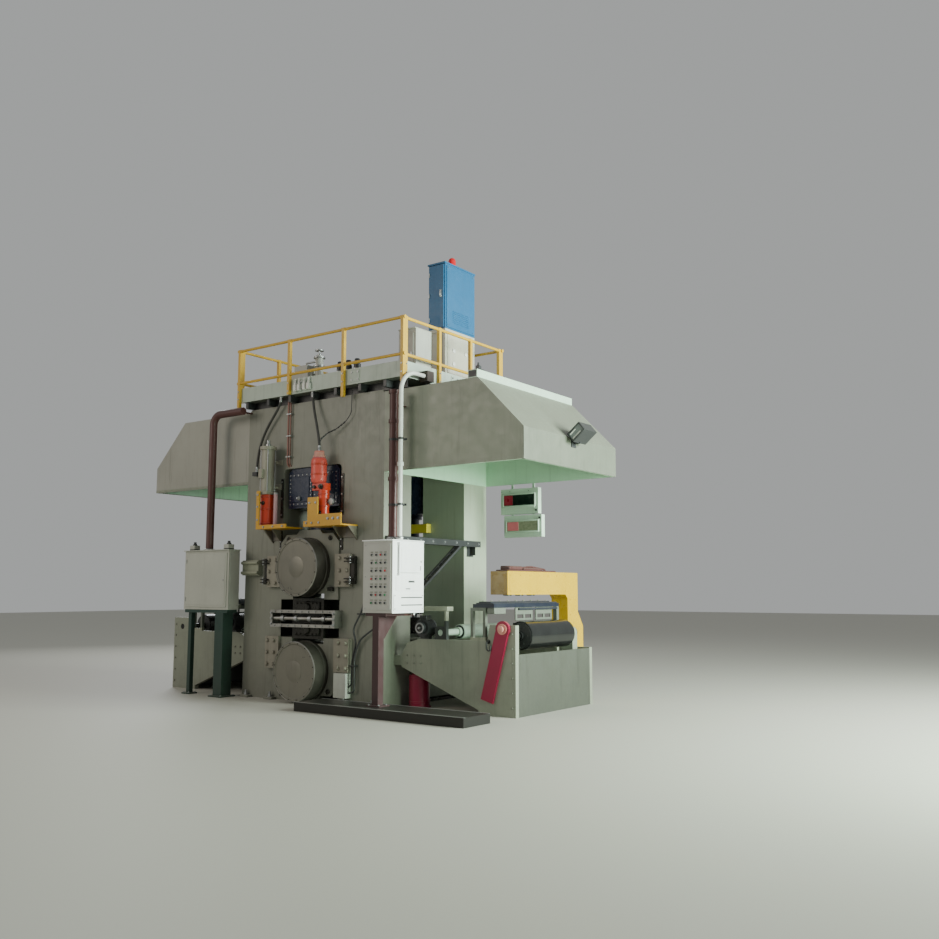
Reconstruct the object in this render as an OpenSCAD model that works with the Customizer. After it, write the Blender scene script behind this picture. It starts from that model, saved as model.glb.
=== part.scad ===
// Rolling mill stand: a four high stand in two closed housings, with its roll stack, hoods,
// roof platform, entry and exit tables, strip gauge and control cabinets.
// X runs along the strip towards the exit, Y towards the drive side, Z up from the floor.

/* [Housings] */
// Width of a housing along the strip
housing_w = 2840; // [2600:10:3200]
// Thickness of a housing across the strip
housing_t = 600; // [520:10:680]
// Height of a housing above the floor
housing_h = 4450; // [4300:10:4700]
// Clear distance between the two housings
housing_gap = 1300; // [1260:10:1500]
// Width of the window in a housing
window_w = 1200; // [1160:10:1300]
// Height of the top of the window above the floor
window_top = 3450; // [3350:10:3600]
// Thickness of the bar that closes the window at floor level
sill_t = 50; // [40:5:60]
// Corner radius of the window
window_r = 70; // [40:5:90]
// Chamfer on the upper corners of a housing
housing_chamfer = 45; // [20:5:80]
// Width of a tie beam between the housings
tie_w = 420; // [300:10:500]
// Height of an upper tie beam
tie_top_h = 520; // [400:10:600]
// Height of a lower tie beam
tie_low_h = 260; // [200:10:300]

/* [Rolls] */
// Height of the strip above the floor
pass_z = 1200; // [1190:5:1230]
// Diameter of a backup roll barrel
backup_d = 856; // [800:2:860]
// Diameter of a work roll barrel
work_d = 318; // [280:2:320]
// Length of the roll barrels
barrel_l = 1180; // [1000:10:1220]
// Diameter of a backup roll neck
backup_neck_d = 500; // [400:10:560]
// Diameter of a work roll neck
work_neck_d = 190; // [150:5:200]
// Diameter of the coupling end of a work roll
coupling_d = 170; // [140:5:180]
// Length that a work roll reaches past the drive housing
coupling_l = 340; // [250:10:420]
// Width across the flats of a coupling end
coupling_flat = 130; // [110:5:135]
// Running clearance between the work rolls
roll_gap = 2; // [1:1:6]
// Radial clearance of a neck in its chock
neck_clear = 0.3; // [0.2:0.1:1]

/* [Chocks] */
// Side clearance of a chock in the window
chock_clear = 3; // [1:1:6]
// Length that a chock stands out from the housing
chock_proud = 30; // [10:5:60]
// Top of an upper backup chock above its roll axis
chock_up = 550; // [500:10:600]
// Leg of a backup chock beside the work rolls, measured past the barrel edge
chock_leg = 84; // [60:2:110]
// Width of a work roll chock
work_chock_w = 640; // [560:10:700]
// Width of the pad on top of an upper chock
chock_pad_w = 420; // [300:10:500]
// Diameter of a bearing cover
cover_d = 870; // [820:10:900]
// Diameter of the raised cap of a bearing cover
cover_cap_d = 850; // [800:10:860]
// Length that a bearing cover stands out from its chock
cover_l = 270; // [220:10:300]

/* [Press gear] */
// Length of the press cylinder block along the strip
press_w = 1060; // [900:10:1100]
// Thickness of the press cylinder block across the strip
press_t = 520; // [440:10:560]
// Height of the press cylinder block
press_h = 610; // [500:10:640]
// Diameter of the press ram
ram_d = 440; // [360:10:460]
// Thickness of the yellow bracket plates
bracket_t = 20; // [12:2:30]
// Height of the yellow bracket shelf above the floor
bracket_z = 2520; // [2450:10:2600]
// Depth of the yellow bracket shelves
bracket_depth = 330; // [300:10:380]
// Distance of the inner end of the exit shelf from the stand centre
exit_shelf_x0 = 190; // [150:10:300]
// Distance of the outer end of the exit shelf from the stand centre
exit_shelf_x1 = 930; // [860:10:1000]
// Height of the tall part of the exit shelf's front plate
shelf_plate_h = 400; // [300:10:450]
// Height of the upright bar of the entry shelf
shelf_bar_h = 580; // [450:10:640]
// Diameter of the accumulator bottle
bottle_d = 230; // [180:5:240]
// Height of the accumulator bottle
bottle_h = 480; // [400:10:560]
// Diameter of the valve body under the bottle
valve_d = 155; // [120:5:180]
// Height of the valve bodies on the shelves
valve_h = 510; // [400:10:520]
// Diameter of the balance cylinder
balance_d = 200; // [160:5:220]
// Length of the balance cylinder
balance_l = 740; // [600:10:800]
// Height of the keeper plates that hold the chocks
keeper_h = 470; // [400:10:500]
// Height of the lower edge of the upper keeper plates
keeper_z = 1660; // [1600:10:1700]
// Height of the lower edge of the lower keeper plates
keeper_low_z = 460; // [420:10:500]
// Diameter of the hoses on the front of the stand
hose_d = 38; // [30:2:44]

/* [Work roll frame] */
// Thickness of the bars of the work roll frame
frame_bar = 46; // [30:2:60]
// Depth of the work roll frame in front of the housing
frame_depth = 130; // [100:5:170]
// Height of the work roll frame
frame_h = 250; // [220:5:280]

/* [Hoods] */
// Length of a hood roof beside the housing
hood_roof = 1620; // [1400:10:1800]
// Length of a hood from the housing to its outer wall
hood_l = 2340; // [2200:10:2500]
// Height of the lower edge of a hood
hood_z = 3270; // [3200:10:3400]
// Height of the outer wall of a hood
hood_wall_h = 420; // [300:10:500]
// Gap between the top of a hood and the top of the housing
hood_drop = 30; // [10:5:60]
// Thickness of the hood plates
hood_t = 12; // [8:1:16]

/* [Platform] */
// Distance of the exit edge of the platform from the stand centre
deck_exit = 1840; // [1820:5:1860]
// Distance of the entry edge of the platform from the stand centre
deck_entry = 1490; // [1450:10:1600]
// Distance of the front edge of the platform from the stand centre
deck_front = 1370; // [1350:10:1500]
// Distance of the rear edge of the platform from the stand centre
deck_rear = 1000; // [980:10:1150]
// Height of the joists under the platform
joist_h = 120; // [100:5:160]
// Height of the edge channel of the platform
fascia_h = 230; // [180:5:260]
// Thickness of the web of the edge channel
fascia_t = 12; // [8:1:16]
// Width of the flanges of the edge channel
fascia_flange = 70; // [50:5:90]
// Thickness of the deck plates
deck_t = 10; // [6:1:16]
// Height of the handrail above the platform joists
rail_h = 855; // [800:5:1100]
// Height of the low rail above the platform joists
low_rail_h = 310; // [280:5:400]
// Width of a handrail post
post_w = 50; // [40:2:60]
// Diameter of the handrail tubes
rail_d = 44; // [34:2:48]

/* [Platform cabinet] */
// Width of the roof cabinet along the strip
cabinet_w = 325; // [280:5:500]
// Depth of the roof cabinet across the strip
cabinet_d = 780; // [600:10:850]
// Height of the roof cabinet
cabinet_h = 1045; // [900:5:1200]
// Height of the stand under the roof cabinet
cabinet_stand_h = 1070; // [900:10:1200]
// Distance of the exit face of the roof cabinet from the exit edge of the platform
cabinet_in = 390; // [340:10:640]
// Gap between the roof cabinet and the rear edge channel
cabinet_gap = 40; // [25:5:100]

/* [Control boxes] */
// Width of the exit control box
panel_w = 510; // [400:10:540]
// Depth of the exit control box
panel_d = 640; // [500:10:680]
// Height of the exit control box
panel_h = 940; // [800:10:1000]
// Height of the lower edge of the control boxes
panel_z = 1315; // [1280:5:1400]
// Distance from the platform edge to the exit side of the control box
panel_past = 310; // [240:10:360]
// Distance of the front of the exit control box from the stand centre
panel_y = 1900; // [1860:10:1950]
// Width of the entry terminal box
terminal_w = 1050; // [900:10:1200]
// Depth of the entry terminal box
terminal_d = 210; // [180:10:300]
// Height of the entry terminal box
terminal_h = 910; // [800:10:960]
// Thickness of the operator step
step_h = 120; // [80:5:150]
// Width of the exit control post
panel_post_w = 105; // [90:5:160]
// Width of the post under the inner end of the entry terminal box
terminal_post_w = 190; // [120:5:200]
// Width of the leg under the outer end of the entry terminal box
terminal_leg_w = 70; // [50:5:100]
// Diameter of the steel conduits
conduit_d = 120; // [100:5:130]
// Diameter of the white conduit
white_d = 60; // [50:5:80]

/* [Tables] */
// Gap between the housings and a table nose
table_gap = 140; // [100:10:180]
// Length of a table from its nose to its end
table_l = 1890; // [1790:10:2040]
// Distance from the mill centre plane to the outside of a table plate
table_half = 1000; // [950:10:1050]
// Thickness of a table side plate
table_t = 80; // [50:5:110]
// Height of the table side plates
table_top = 950; // [930:10:970]
// Diameter of a deflector roll
deflector_d = 380; // [340:10:390]
// Length of a deflector roll barrel
deflector_l = 1120; // [1000:10:1200]
// Distance of a deflector roll from the table end
deflector_in = 210; // [190:10:250]
// Diameter of a table roll
table_roll_d = 200; // [160:10:210]
// Distance of a table roll from the table nose
table_roll_past = 670; // [640:10:740]
// Diameter of the journals of the table rolls
journal_d = 90; // [70:5:100]
// Radial clearance of a journal in its bearing
journal_clear = 0.05; // [0.03:0.01:0.1]

/* [Strip gauge] */
// Height of the upper arm of the strip gauge
gauge_h = 320; // [260:10:360]
// Width of the strip gauge along the strip
gauge_w = 280; // [220:10:300]
// Distance of the exit face of the strip gauge from the table end
gauge_in = 450; // [420:10:490]
// Distance of the gauge nose from the stand centre, to the operator side
gauge_nose = 500; // [400:10:600]
// Distance of the gauge back from the stand centre, to the drive side
gauge_back = 1400; // [1350:10:1550]
// Height of the lower edge of the upper gauge arm
gauge_z = 1550; // [1520:10:1600]
// Height of the lower gauge arm
gauge_low_h = 130; // [100:5:150]
// Height of the lower edge of the cross guide over the strip
guide_z = 1380; // [1340:5:1400]

/* [Readouts] */
// Distance of the entry end of the upper readout from the housings
readout_past = 360; // [320:10:430]
// Length of a readout
readout_l = 690; // [600:10:720]
// Height of the upper readout
readout_h = 400; // [340:10:430]
// Height of the lower readout
readout_low_h = 340; // [300:10:380]
// Gap between the readouts
readout_gap = 20; // [10:5:60]
// Gap between the upper readout and the lower edge of the hood
readout_drop = 80; // [50:5:120]

/* [Service beam] */
// Height of the lower edge of the service beam
beam_z = 2280; // [2200:10:2300]
// Height of the service beam
beam_h = 90; // [80:5:140]
// Width of the service beam
beam_w = 120; // [90:5:140]
// Height of the foot of the brace under the service beam
brace_z = 1500; // [1400:10:1600]

/* [Hidden] */

// Colours of the paint and metal
green = [0.50, 0.51, 0.44];
pale_green = [0.66, 0.75, 0.66];
yellow = [0.85, 0.68, 0.15];
blue = [0.16, 0.42, 0.66];
steel = [0.72, 0.73, 0.74];
dark = [0.16, 0.17, 0.18];
navy = [0.09, 0.14, 0.24];
maroon = [0.34, 0.15, 0.13];
crimson = [0.66, 0.08, 0.17];
pale = [0.80, 0.81, 0.77];

// Small overlap that makes a cut pass through a face
cut = 1;
// Gap of a face that rests beside a curved one
seat = 0.3;

half_w = housing_w / 2;
table_nose = half_w + table_gap;
table_end = table_nose + table_l;
deflector_x = table_end - deflector_in;
table_roll_x = table_nose + table_roll_past;
gauge_x = table_end - gauge_in;
readout_x = half_w + readout_past;
cabinet_x = deck_exit - cabinet_in;
inner_y = housing_gap / 2;
outer_y = inner_y + housing_t;
mid_y = inner_y + housing_t / 2;

backup_r = backup_d / 2;
work_r = work_d / 2;
// Axes of the four rolls
work_up_z = pass_z + roll_gap / 2 + work_r;
work_low_z = pass_z - roll_gap / 2 - work_r;
backup_up_z = work_up_z + work_r + seat + backup_r;
backup_low_z = work_low_z - work_r - seat - backup_r;

chock_w = window_w - 2 * chock_clear;
chock_y0 = inner_y + 30;
chock_y1 = outer_y + chock_proud;
chock_top = backup_up_z + chock_up;
work_chock_h = 268;

module mirror_copy_x() {
    children();
    mirror([1, 0, 0]) children();
}

module mirror_copy_y() {
    children();
    mirror([0, 1, 0]) children();
}

// A box between two corners
module box(x0, x1, y0, y1, z0, z1) {
    translate([x0, y0, z0]) cube([x1 - x0, y1 - y0, z1 - z0]);
}

// An XZ outline carried from y0 to y1
module along_y(y0, y1) {
    translate([0, y1, 0]) rotate([90, 0, 0]) linear_extrude(y1 - y0) children();
}

// A YZ outline carried from x0 to x1
module along_x(x0, x1) {
    translate([x0, 0, 0]) rotate([90, 0, 90]) linear_extrude(x1 - x0) children();
}

module rod_y(d, x, z, y0, y1) {
    translate([x, y1, z]) rotate([90, 0, 0]) cylinder(d = d, h = y1 - y0, $fn = 64);
}

module rod_x(d, y, z, x0, x1) {
    translate([x0, y, z]) rotate([0, 90, 0]) cylinder(d = d, h = x1 - x0, $fn = 32);
}

module rod_z(d, x, y, z0, z1) {
    translate([x, y, z0]) cylinder(d = d, h = z1 - z0, $fn = 48);
}

// A rectangle with round corners
module round_rect(x0, x1, z0, z1, r) {
    translate([x0 + r, z0]) square([x1 - x0 - 2 * r, z1 - z0]);
    translate([x0, z0 + r]) square([x1 - x0, z1 - z0 - 2 * r]);
    for (x = [x0 + r, x1 - r], z = [z0 + r, z1 - r])
        translate([x, z]) circle(r = r, $fn = 48);
}

// A square bar between two points of one XZ plane
module slant_bar(x0, z0, x1, z1, w, y0, y1) {
    run = sqrt((x1 - x0) * (x1 - x0) + (z1 - z0) * (z1 - z0));
    translate([x0, 0, z0]) rotate([0, -atan2(z1 - z0, x1 - x0), 0])
        box(0, run, y0, y1, -w / 2, w / 2);
}

// Housings

module housing_outline() {
    c = housing_chamfer;
    difference() {
        polygon([[-half_w, 0], [half_w, 0], [half_w, housing_h - c], [half_w - c, housing_h],
            [-half_w + c, housing_h], [-half_w, housing_h - c]]);
        round_rect(-window_w / 2, window_w / 2, sill_t, window_top, window_r);
        translate([-window_w / 2, sill_t]) square([window_w, 2 * window_r]);
    }
}

module operator_housing() {
    color(green) mirror([0, 1, 0]) along_y(inner_y, outer_y) housing_outline();
}

module drive_housing() {
    color(green) along_y(inner_y, outer_y) housing_outline();
}

// The tie beams that hold the housings apart, two above and two at floor level
module tie_beams() {
    inset = 100;
    x1 = half_w - inset;
    z1 = housing_h - inset;
    color(green) mirror_copy_x() {
        box(x1 - tie_w, x1, -inner_y, inner_y, z1 - tie_top_h, z1);
        box(x1 - tie_w, x1, -inner_y, inner_y, sill_t, sill_t + tie_low_h);
    }
}

// The pan between the housings that catches coolant and rests on the floor
module floor_pan() {
    rim = 12;
    rim_h = 40;
    x1 = half_w - 20;
    y1 = inner_y;
    color(dark) difference() {
        box(-x1, x1, -y1, y1, 0, rim_h);
        box(-x1 + rim, x1 - rim, -y1 + rim, y1 - rim, rim, rim_h + cut);
    }
}

// Roll stack

// A roll turned about Z: barrel, fillets at the shoulders and two necks
module roll_turned(barrel, neck, face, neck_l) {
    r = barrel / 2;
    n = neck / 2;
    bevel = 12;
    f = min(40, (r - n) / 2);
    rotate_extrude($fn = 96) polygon([[0, -neck_l], [n - bevel, -neck_l], [n, -neck_l + bevel],
        [n, -face / 2 - f], [n + f, -face / 2], [r - bevel, -face / 2], [r, -face / 2 + bevel],
        [r, face / 2 - bevel], [r - bevel, face / 2], [n + f, face / 2], [n, face / 2 + f],
        [n, neck_l - bevel], [n - bevel, neck_l], [0, neck_l]]);
}

module backup_roll(z) {
    neck_l = outer_y + chock_proud - 60;
    translate([0, 0, z]) rotate([90, 0, 0]) roll_turned(backup_d, backup_neck_d, barrel_l, neck_l);
}

module upper_backup_roll() {
    color(steel) backup_roll(backup_up_z);
}

module lower_backup_roll() {
    color(steel) backup_roll(backup_low_z);
}

// A work roll with the flats of its coupling end on the drive side
module work_roll(z) {
    neck_l = outer_y + chock_proud - 40;
    end_y = outer_y + coupling_l;
    flat_l = coupling_l - 100;
    translate([0, 0, z]) {
        rotate([90, 0, 0]) roll_turned(work_d, work_neck_d, barrel_l, neck_l);
        difference() {
            rod_y(coupling_d, 0, 0, neck_l, end_y);
            for (s = [-1, 1])
                translate([0, end_y - flat_l / 2 + cut, s * (coupling_flat / 2 + coupling_d / 2)])
                    cube([coupling_d + 2, flat_l + 2 * cut, coupling_d], center = true);
        }
    }
}

module upper_work_roll() {
    color(steel) work_roll(work_up_z);
}

module lower_work_roll() {
    color(steel) work_roll(work_low_z);
}

// Outline of an upper backup chock: legs astride the work roll chocks, sloped shoulders
// and the pad that takes the press ram
module backup_chock_outline(reach) {
    w = chock_w / 2;
    leg = work_r + chock_leg;
    slot = work_chock_w / 2 + chock_clear;
    low = -backup_r - chock_leg / 2;
    shoulder = 120;
    pad = chock_pad_w / 2;
    polygon([[-w, low], [-slot, low], [-slot, low + chock_leg], [slot, low + chock_leg], [slot, low],
        [w, low], [w, reach - shoulder - 60], [w - shoulder, reach - 60], [pad + 60, reach - 60],
        [pad, reach], [-pad, reach], [-pad - 60, reach - 60], [-w + shoulder, reach - 60],
        [-w, reach - shoulder - 60]]);
}

module backup_chock(reach) {
    difference() {
        along_y(chock_y0, chock_y1) backup_chock_outline(reach);
        rod_y(backup_neck_d + 2 * neck_clear, 0, 0, chock_y0 - cut, chock_y1 + cut);
    }
}

module upper_backup_chocks() {
    color(green) mirror_copy_y() translate([0, 0, backup_up_z]) backup_chock(chock_up);
}

module lower_backup_chocks() {
    reach = backup_low_z - sill_t;
    color(green) mirror_copy_y() translate([0, 0, backup_low_z]) mirror([0, 0, 1])
        backup_chock(reach);
}

// A bearing cover turned about Y: a low flange, a deep cap and a shallow dished face
module bearing_cover(z) {
    r = cover_d / 2;
    cap = cover_cap_d / 2;
    flange = 60;
    lip = 8;
    rim = 36;
    dish = 12;
    translate([0, chock_y1, z]) rotate([-90, 0, 0]) rotate_extrude($fn = 96) polygon([[0, 0],
        [r, 0], [r, flange], [cap, flange + r - cap], [cap, cover_l - lip], [cap - lip, cover_l],
        [cap - rim, cover_l], [cap - rim - dish, cover_l - dish], [0, cover_l - dish]]);
}

module upper_bearing_covers() {
    color(steel) mirror_copy_y() bearing_cover(backup_up_z);
}

module lower_bearing_covers() {
    color(steel) mirror_copy_y() bearing_cover(backup_low_z);
}

// The four chocks of the work rolls, which slide between the legs of the backup chocks
module work_roll_chocks() {
    h = (work_chock_h - 2) / 2;
    r = work_neck_d / 2 + neck_clear;
    color(dark) mirror_copy_y() for (z = [work_up_z, work_low_z]) difference() {
        along_y(chock_y0, chock_y1) {
            translate([-work_chock_w / 2, z - h]) square([work_chock_w, 2 * h]);
        }
        rod_y(2 * r, 0, z, chock_y0 - cut, chock_y1 + cut);
    }
}

// Press gear

// The press cylinders under the top of each window, with their rams on the chocks
module press_cylinders() {
    w = press_w / 2;
    c = 70;
    z0 = window_top - press_h;
    color(navy) mirror_copy_y() {
        along_y(mid_y - press_t / 2, mid_y + press_t / 2) polygon([[-w, z0], [w, z0],
            [w, window_top - c], [w - c, window_top], [-w + c, window_top], [-w, window_top - c]]);
        rod_z(ram_d, 0, mid_y, chock_top, z0);
        rod_z(ram_d + 90, 0, mid_y, z0 - 60, z0);
    }
}

// A shelf on one post of a housing, with two gussets under it
module bracket_shelf(x_in, x_out) {
    t = bracket_t;
    gusset = 200;
    box(x_in, x_out, -outer_y - bracket_depth, -outer_y, bracket_z, bracket_z + t);
    for (x = [window_w / 2 + t, x_out - t]) along_x(x, x + t) polygon([
        [-outer_y - gusset, bracket_z], [-outer_y, bracket_z - gusset], [-outer_y, bracket_z]]);
}

entry_shelf_x0 = 180;
entry_shelf_x1 = 820;
shelf_y = -outer_y - bracket_depth;
shelf_top = bracket_z + bracket_t;
// Axis of the pieces that stand on the shelves
bottle_y = -outer_y - bracket_depth * 0.55;
valve_x = 430;
bottle_x = 320;
balance_x = -770;
bottle_z = shelf_top + valve_h + 100;

// The yellow shelves: a stepped front plate on the exit one, an angle on the entry one
module front_brackets() {
    t = bracket_t;
    lip = 150;
    rim = 60;
    x0 = exit_shelf_x0;
    x1 = x0 + 80;
    x2 = x0 + 280;
    color(yellow) {
        bracket_shelf(exit_shelf_x0, exit_shelf_x1);
        along_y(shelf_y - t, shelf_y) polygon([[x0, bracket_z], [exit_shelf_x1, bracket_z],
            [exit_shelf_x1, shelf_top + lip], [x2, shelf_top + lip], [x2, shelf_top + shelf_plate_h],
            [x1, shelf_top + shelf_plate_h], [x1, shelf_top + rim], [x0, shelf_top + rim]]);
        mirror([1, 0, 0]) bracket_shelf(entry_shelf_x0, entry_shelf_x1);
        along_y(shelf_y - t, shelf_y) polygon([[-entry_shelf_x1, bracket_z],
            [-entry_shelf_x0, bracket_z], [-entry_shelf_x0, bracket_z + rim],
            [-entry_shelf_x1 + rim, bracket_z + rim], [-entry_shelf_x1 + rim, bracket_z + shelf_bar_h],
            [-entry_shelf_x1, bracket_z + shelf_bar_h]]);
    }
}

// The yellow blocks on the inner faces of the posts, under the press cylinders
module inner_brackets() {
    reach = 320;
    hold = 160;
    block_h = 140;
    depth = 110;
    color(yellow) mirror_copy_x() mirror_copy_y() difference() {
        box(window_w / 2 - reach, window_w / 2 + hold, inner_y - depth, inner_y, bracket_z,
            bracket_z + block_h);
        box(window_w / 2 - reach + 40, window_w / 2 - 40, inner_y - depth + 20, inner_y + cut,
            bracket_z + 20, bracket_z + block_h + cut);
    }
}

// A bottle with a domed foot and a neck, turned about Z
module bottle(d, h) {
    r = d / 2;
    n = r * 0.6;
    dome = r * 0.6;
    cap = 90;
    rotate_extrude($fn = 48) polygon(concat([[0, 0], [r * 0.6, 0]],
        [for (a = [-60 : 20 : 0]) [r * 0.6 + r * 0.4 * cos(a), dome * (1 + sin(a)) ]],
        [for (a = [0 : 15 : 60]) [n + (r - n) * cos(a), h - dome - cap + dome * sin(a)]],
        [[n, h - cap], [n, h], [0, h]]));
}

module accumulators() {
    joint = 100;
    rod = 60;
    color([0.80, 0.25, 0.13]) {
        rod_z(valve_d, valve_x, bottle_y, shelf_top, shelf_top + valve_h);
        box(bottle_x - 70, valve_x + 70, bottle_y - 60, bottle_y + 60, bottle_z - joint, bottle_z);
        translate([bottle_x, bottle_y, bottle_z]) bottle(bottle_d, bottle_h);
        rod_z(bottle_d - 40, balance_x, bottle_y, shelf_top, shelf_top + valve_h);
        rod_z(rod, balance_x + 190, bottle_y, shelf_top, shelf_top + valve_h);
    }
}

// The grey cylinder over the entry shelf, on straps from the post
module balance_cylinder() {
    cap = 50;
    strap = 60;
    z0 = shelf_top + valve_h;
    z1 = z0 + balance_l;
    color(pale) {
        rod_z(balance_d, balance_x, bottle_y, z0, z1 - cap);
        rod_z(balance_d + cap, balance_x, bottle_y, z1 - cap, z1);
        for (z = [z0 + 2 * cap, z1 - 5 * cap])
            box(balance_x - strap, balance_x + strap, bottle_y, -outer_y, z, z + 40);
    }
}

// The plates that hold the chocks in the windows, bolted to the posts
module keeper_plates() {
    t = 45;
    lap = 35;
    foot = 20;
    reach = 250;
    w = window_w / 2;
    color(green) mirror_copy_x() for (z = [keeper_z, keeper_low_z]) {
        box(w - lap, w + reach, -chock_y1 - t, -chock_y1, z, z + keeper_h);
        box(w + foot, w + reach, -chock_y1, -outer_y, z, z + keeper_h);
    }
}

// The frame of bars in front of the work roll chocks, with its end plates
module work_roll_frame() {
    x1 = window_w / 2 + 60;
    y0 = -chock_y1 - frame_depth;
    y1 = -outer_y;
    z0 = pass_z - frame_h / 2;
    z1 = pass_z + frame_h / 2;
    b = frame_bar;
    color(steel) {
        for (s = [-1, 1]) translate([s * (x1 - b / 2), (y0 + y1) / 2, pass_z])
            cube([b, y1 - y0, frame_h], center = true);
        box(-x1 + b, x1 - b, y0, y0 + b, z1 - b, z1);
        box(-x1 + b, x1 - b, y0, y0 + b, z0, z0 + b);
        rod_x(b * 1.3, y0 + b, pass_z, -x1 + b, x1 - b);
    }
}

// Hoods

// Outline of a hood, seen from the operator side
function hood_points(g) = [[half_w + g, hood_z - (g > 0 ? cut : 0)],
    [half_w + hood_l - g, hood_z - (g > 0 ? cut : 0)], [half_w + hood_l - g, hood_z + hood_wall_h],
    [half_w + hood_roof - g * 0.4, housing_h - hood_drop - g],
    [half_w + g, housing_h - hood_drop - g]];

// A hood open below, and open to the housings only through the duct mouth in its back plate
module hood() {
    color(green) difference() {
        along_y(-outer_y, outer_y) polygon(hood_points(0));
        along_y(-outer_y + hood_t, outer_y - hood_t) polygon(hood_points(hood_t));
    }
}

module exit_hood() {
    hood();
}

module entry_hood() {
    mirror([1, 0, 0]) hood();
}

// Platform

deck_z = housing_h + joist_h;
fascia_top = deck_z + fascia_h;

// Four channel joists across the housings
module platform_joists() {
    t = 10;
    f = 60;
    inset = 60;
    color(dark) for (y = [-outer_y + inset, -inner_y - 2 * inset, inner_y + inset, deck_rear - f - t])
        along_x(-deck_entry + inset, deck_exit - inset) polygon([[y, housing_h], [y + f, housing_h],
            [y + f, housing_h + t], [y + t, housing_h + t], [y + t, deck_z - t], [y + f, deck_z - t],
            [y + f, deck_z], [y, deck_z]]);
}

module platform_deck() {
    color(pale) box(-deck_entry + fascia_t, deck_exit - fascia_t, -deck_front + fascia_t,
        deck_rear - fascia_t, deck_z, deck_z + deck_t);
}

// The channel round the edge of the platform
module platform_fascia() {
    t = fascia_t;
    f = fascia_flange;
    x0 = -deck_entry;
    x1 = deck_exit;
    color(pale) difference() {
        box(x0, x1, -deck_front, deck_rear, deck_z, fascia_top);
        box(x0 + t, x1 - t, -deck_front + t, deck_rear - t, deck_z - cut, fascia_top - t);
        box(x0 + f, x1 - f, -deck_front + f, deck_rear - f, deck_z, fascia_top + cut);
    }
}

rail_top = deck_z + rail_h;
rail_drop = 200;

// A handrail along one edge: posts outside the channel, each with its own reach below the
// joists' top, and two tubes between the end posts
module handrail(posts, y, drops) {
    p = post_w;
    for (i = [0 : len(posts) - 1])
        box(posts[i] - p / 2, posts[i] + p / 2, y - p, y, deck_z - drops[i], rail_top);
    for (z = [rail_top - rail_d / 2, deck_z + low_rail_h])
        rod_x(rail_d, y - p / 2, z, posts[0], posts[len(posts) - 1]);
}

// Posts at both ends and at thirds of the length
function thirds(a, b) = [for (i = [0 : 3]) a + (b - a) * i / 3];
edge_x = thirds(-deck_entry - post_w / 2, deck_exit + post_w / 2);
edge_y = thirds(-deck_front + post_w / 2, deck_rear - post_w / 2);
no_drops = [0, 0, 0, 0];
front_drops = [rail_drop, 0, 0.85 * rail_drop, 0.4 * rail_drop];

module front_handrail() {
    color(yellow) handrail(edge_x, -deck_front, front_drops);
}

module rear_handrail() {
    color(yellow) mirror([0, 1, 0]) handrail(edge_x, -deck_rear, no_drops);
}

module exit_handrail() {
    color(yellow) rotate([0, 0, 90]) handrail(edge_y, -deck_exit, no_drops);
}

module entry_handrail() {
    color(yellow) mirror([1, 0, 0]) rotate([0, 0, 90]) handrail(edge_y, -deck_entry, no_drops);
}

// Cabinet on the platform

cabinet_z = deck_z + deck_t + cabinet_stand_h;
cabinet_y = deck_rear - fascia_flange - cabinet_gap - cabinet_d;

module roof_cabinet() {
    x0 = cabinet_x - cabinet_w;
    trim = 20;
    color(blue) {
        box(x0, cabinet_x, cabinet_y, cabinet_y + cabinet_d, cabinet_z, cabinet_z + cabinet_h);
        box(x0 + trim, cabinet_x - trim, cabinet_y - 18, cabinet_y, cabinet_z + trim,
            cabinet_z + cabinet_h - trim);
        box(x0 - 10, cabinet_x + 10, cabinet_y - 24, cabinet_y + cabinet_d + 10,
            cabinet_z + cabinet_h, cabinet_z + cabinet_h + 24);
    }
}

// The welded stand under the cabinet
module cabinet_stand() {
    p = post_w;
    foot = 20;
    gap = 15;
    x0 = cabinet_x - cabinet_w;
    x1 = cabinet_x;
    y0 = cabinet_y;
    y1 = cabinet_y + cabinet_d;
    z0 = deck_z + deck_t;
    shelf = z0 + cabinet_stand_h * 0.28;
    color(pale) {
        for (x = [x0, x1 - p], y = [y0, y1 - p]) {
            box(x, x + p, y, y + p, z0, cabinet_z);
            box(x - foot, x + p + foot, y - foot, y + p + foot, z0, z0 + deck_t);
        }
        for (y = [y0, y1 - p], z = [cabinet_z - p, shelf]) box(x0 + p, x1 - p, y, y + p, z, z + p);
        for (x = [x0, x1 - p], z = [cabinet_z - p, shelf]) box(x, x + p, y0 + p, y1 - p, z, z + p);
        box(x0 + gap, x1 - gap, y0 + gap, y1 - gap, shelf + p, cabinet_z - p);
    }
}

module warning_beacon() {
    z = cabinet_z + cabinet_h + 24;
    translate([cabinet_x - cabinet_w / 2, cabinet_y + cabinet_d / 2, z]) {
        color(pale) cylinder(d = 150, h = 50, $fn = 48);
        color(crimson) translate([0, 0, 50]) rotate_extrude($fn = 48) polygon([[0, 0], [62, 0],
            [60, 90], [48, 125], [25, 142], [0, 146]]);
    }
}

// The press gear on the platform: a valve block with its stack, a small column, a row of
// valves and a grey box by the exit edge
module roof_valves() {
    z = deck_z + deck_t;
    y = -housing_gap / 2 - 150;
    block = 360;
    color(pale) {
        box(-860, -420, y - block / 2, y + block / 2, z, z + 420);
        box(-780, -500, y - block / 3, y + block / 3, z + 420, z + 560);
        rod_z(130, valve_column_x, y, z, z + 700);
        rod_x(60, y, z + 250, -420, valve_column_x);
        box(roof_box_x - 320, roof_box_x, y - block / 2, y + block / 2, z, z + 780);
    }
    color(dark) {
        rod_x(60, y, z + 250, valve_column_x, valve_column_x + 360);
        box(valve_column_x + 360, valve_column_x + 900, y - block / 4, y + block / 4, z, z + 330);
        for (i = [0 : 2]) rod_z(110, valve_column_x + 450 + 180 * i, y, z + 330, z + 460);
    }
}

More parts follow.
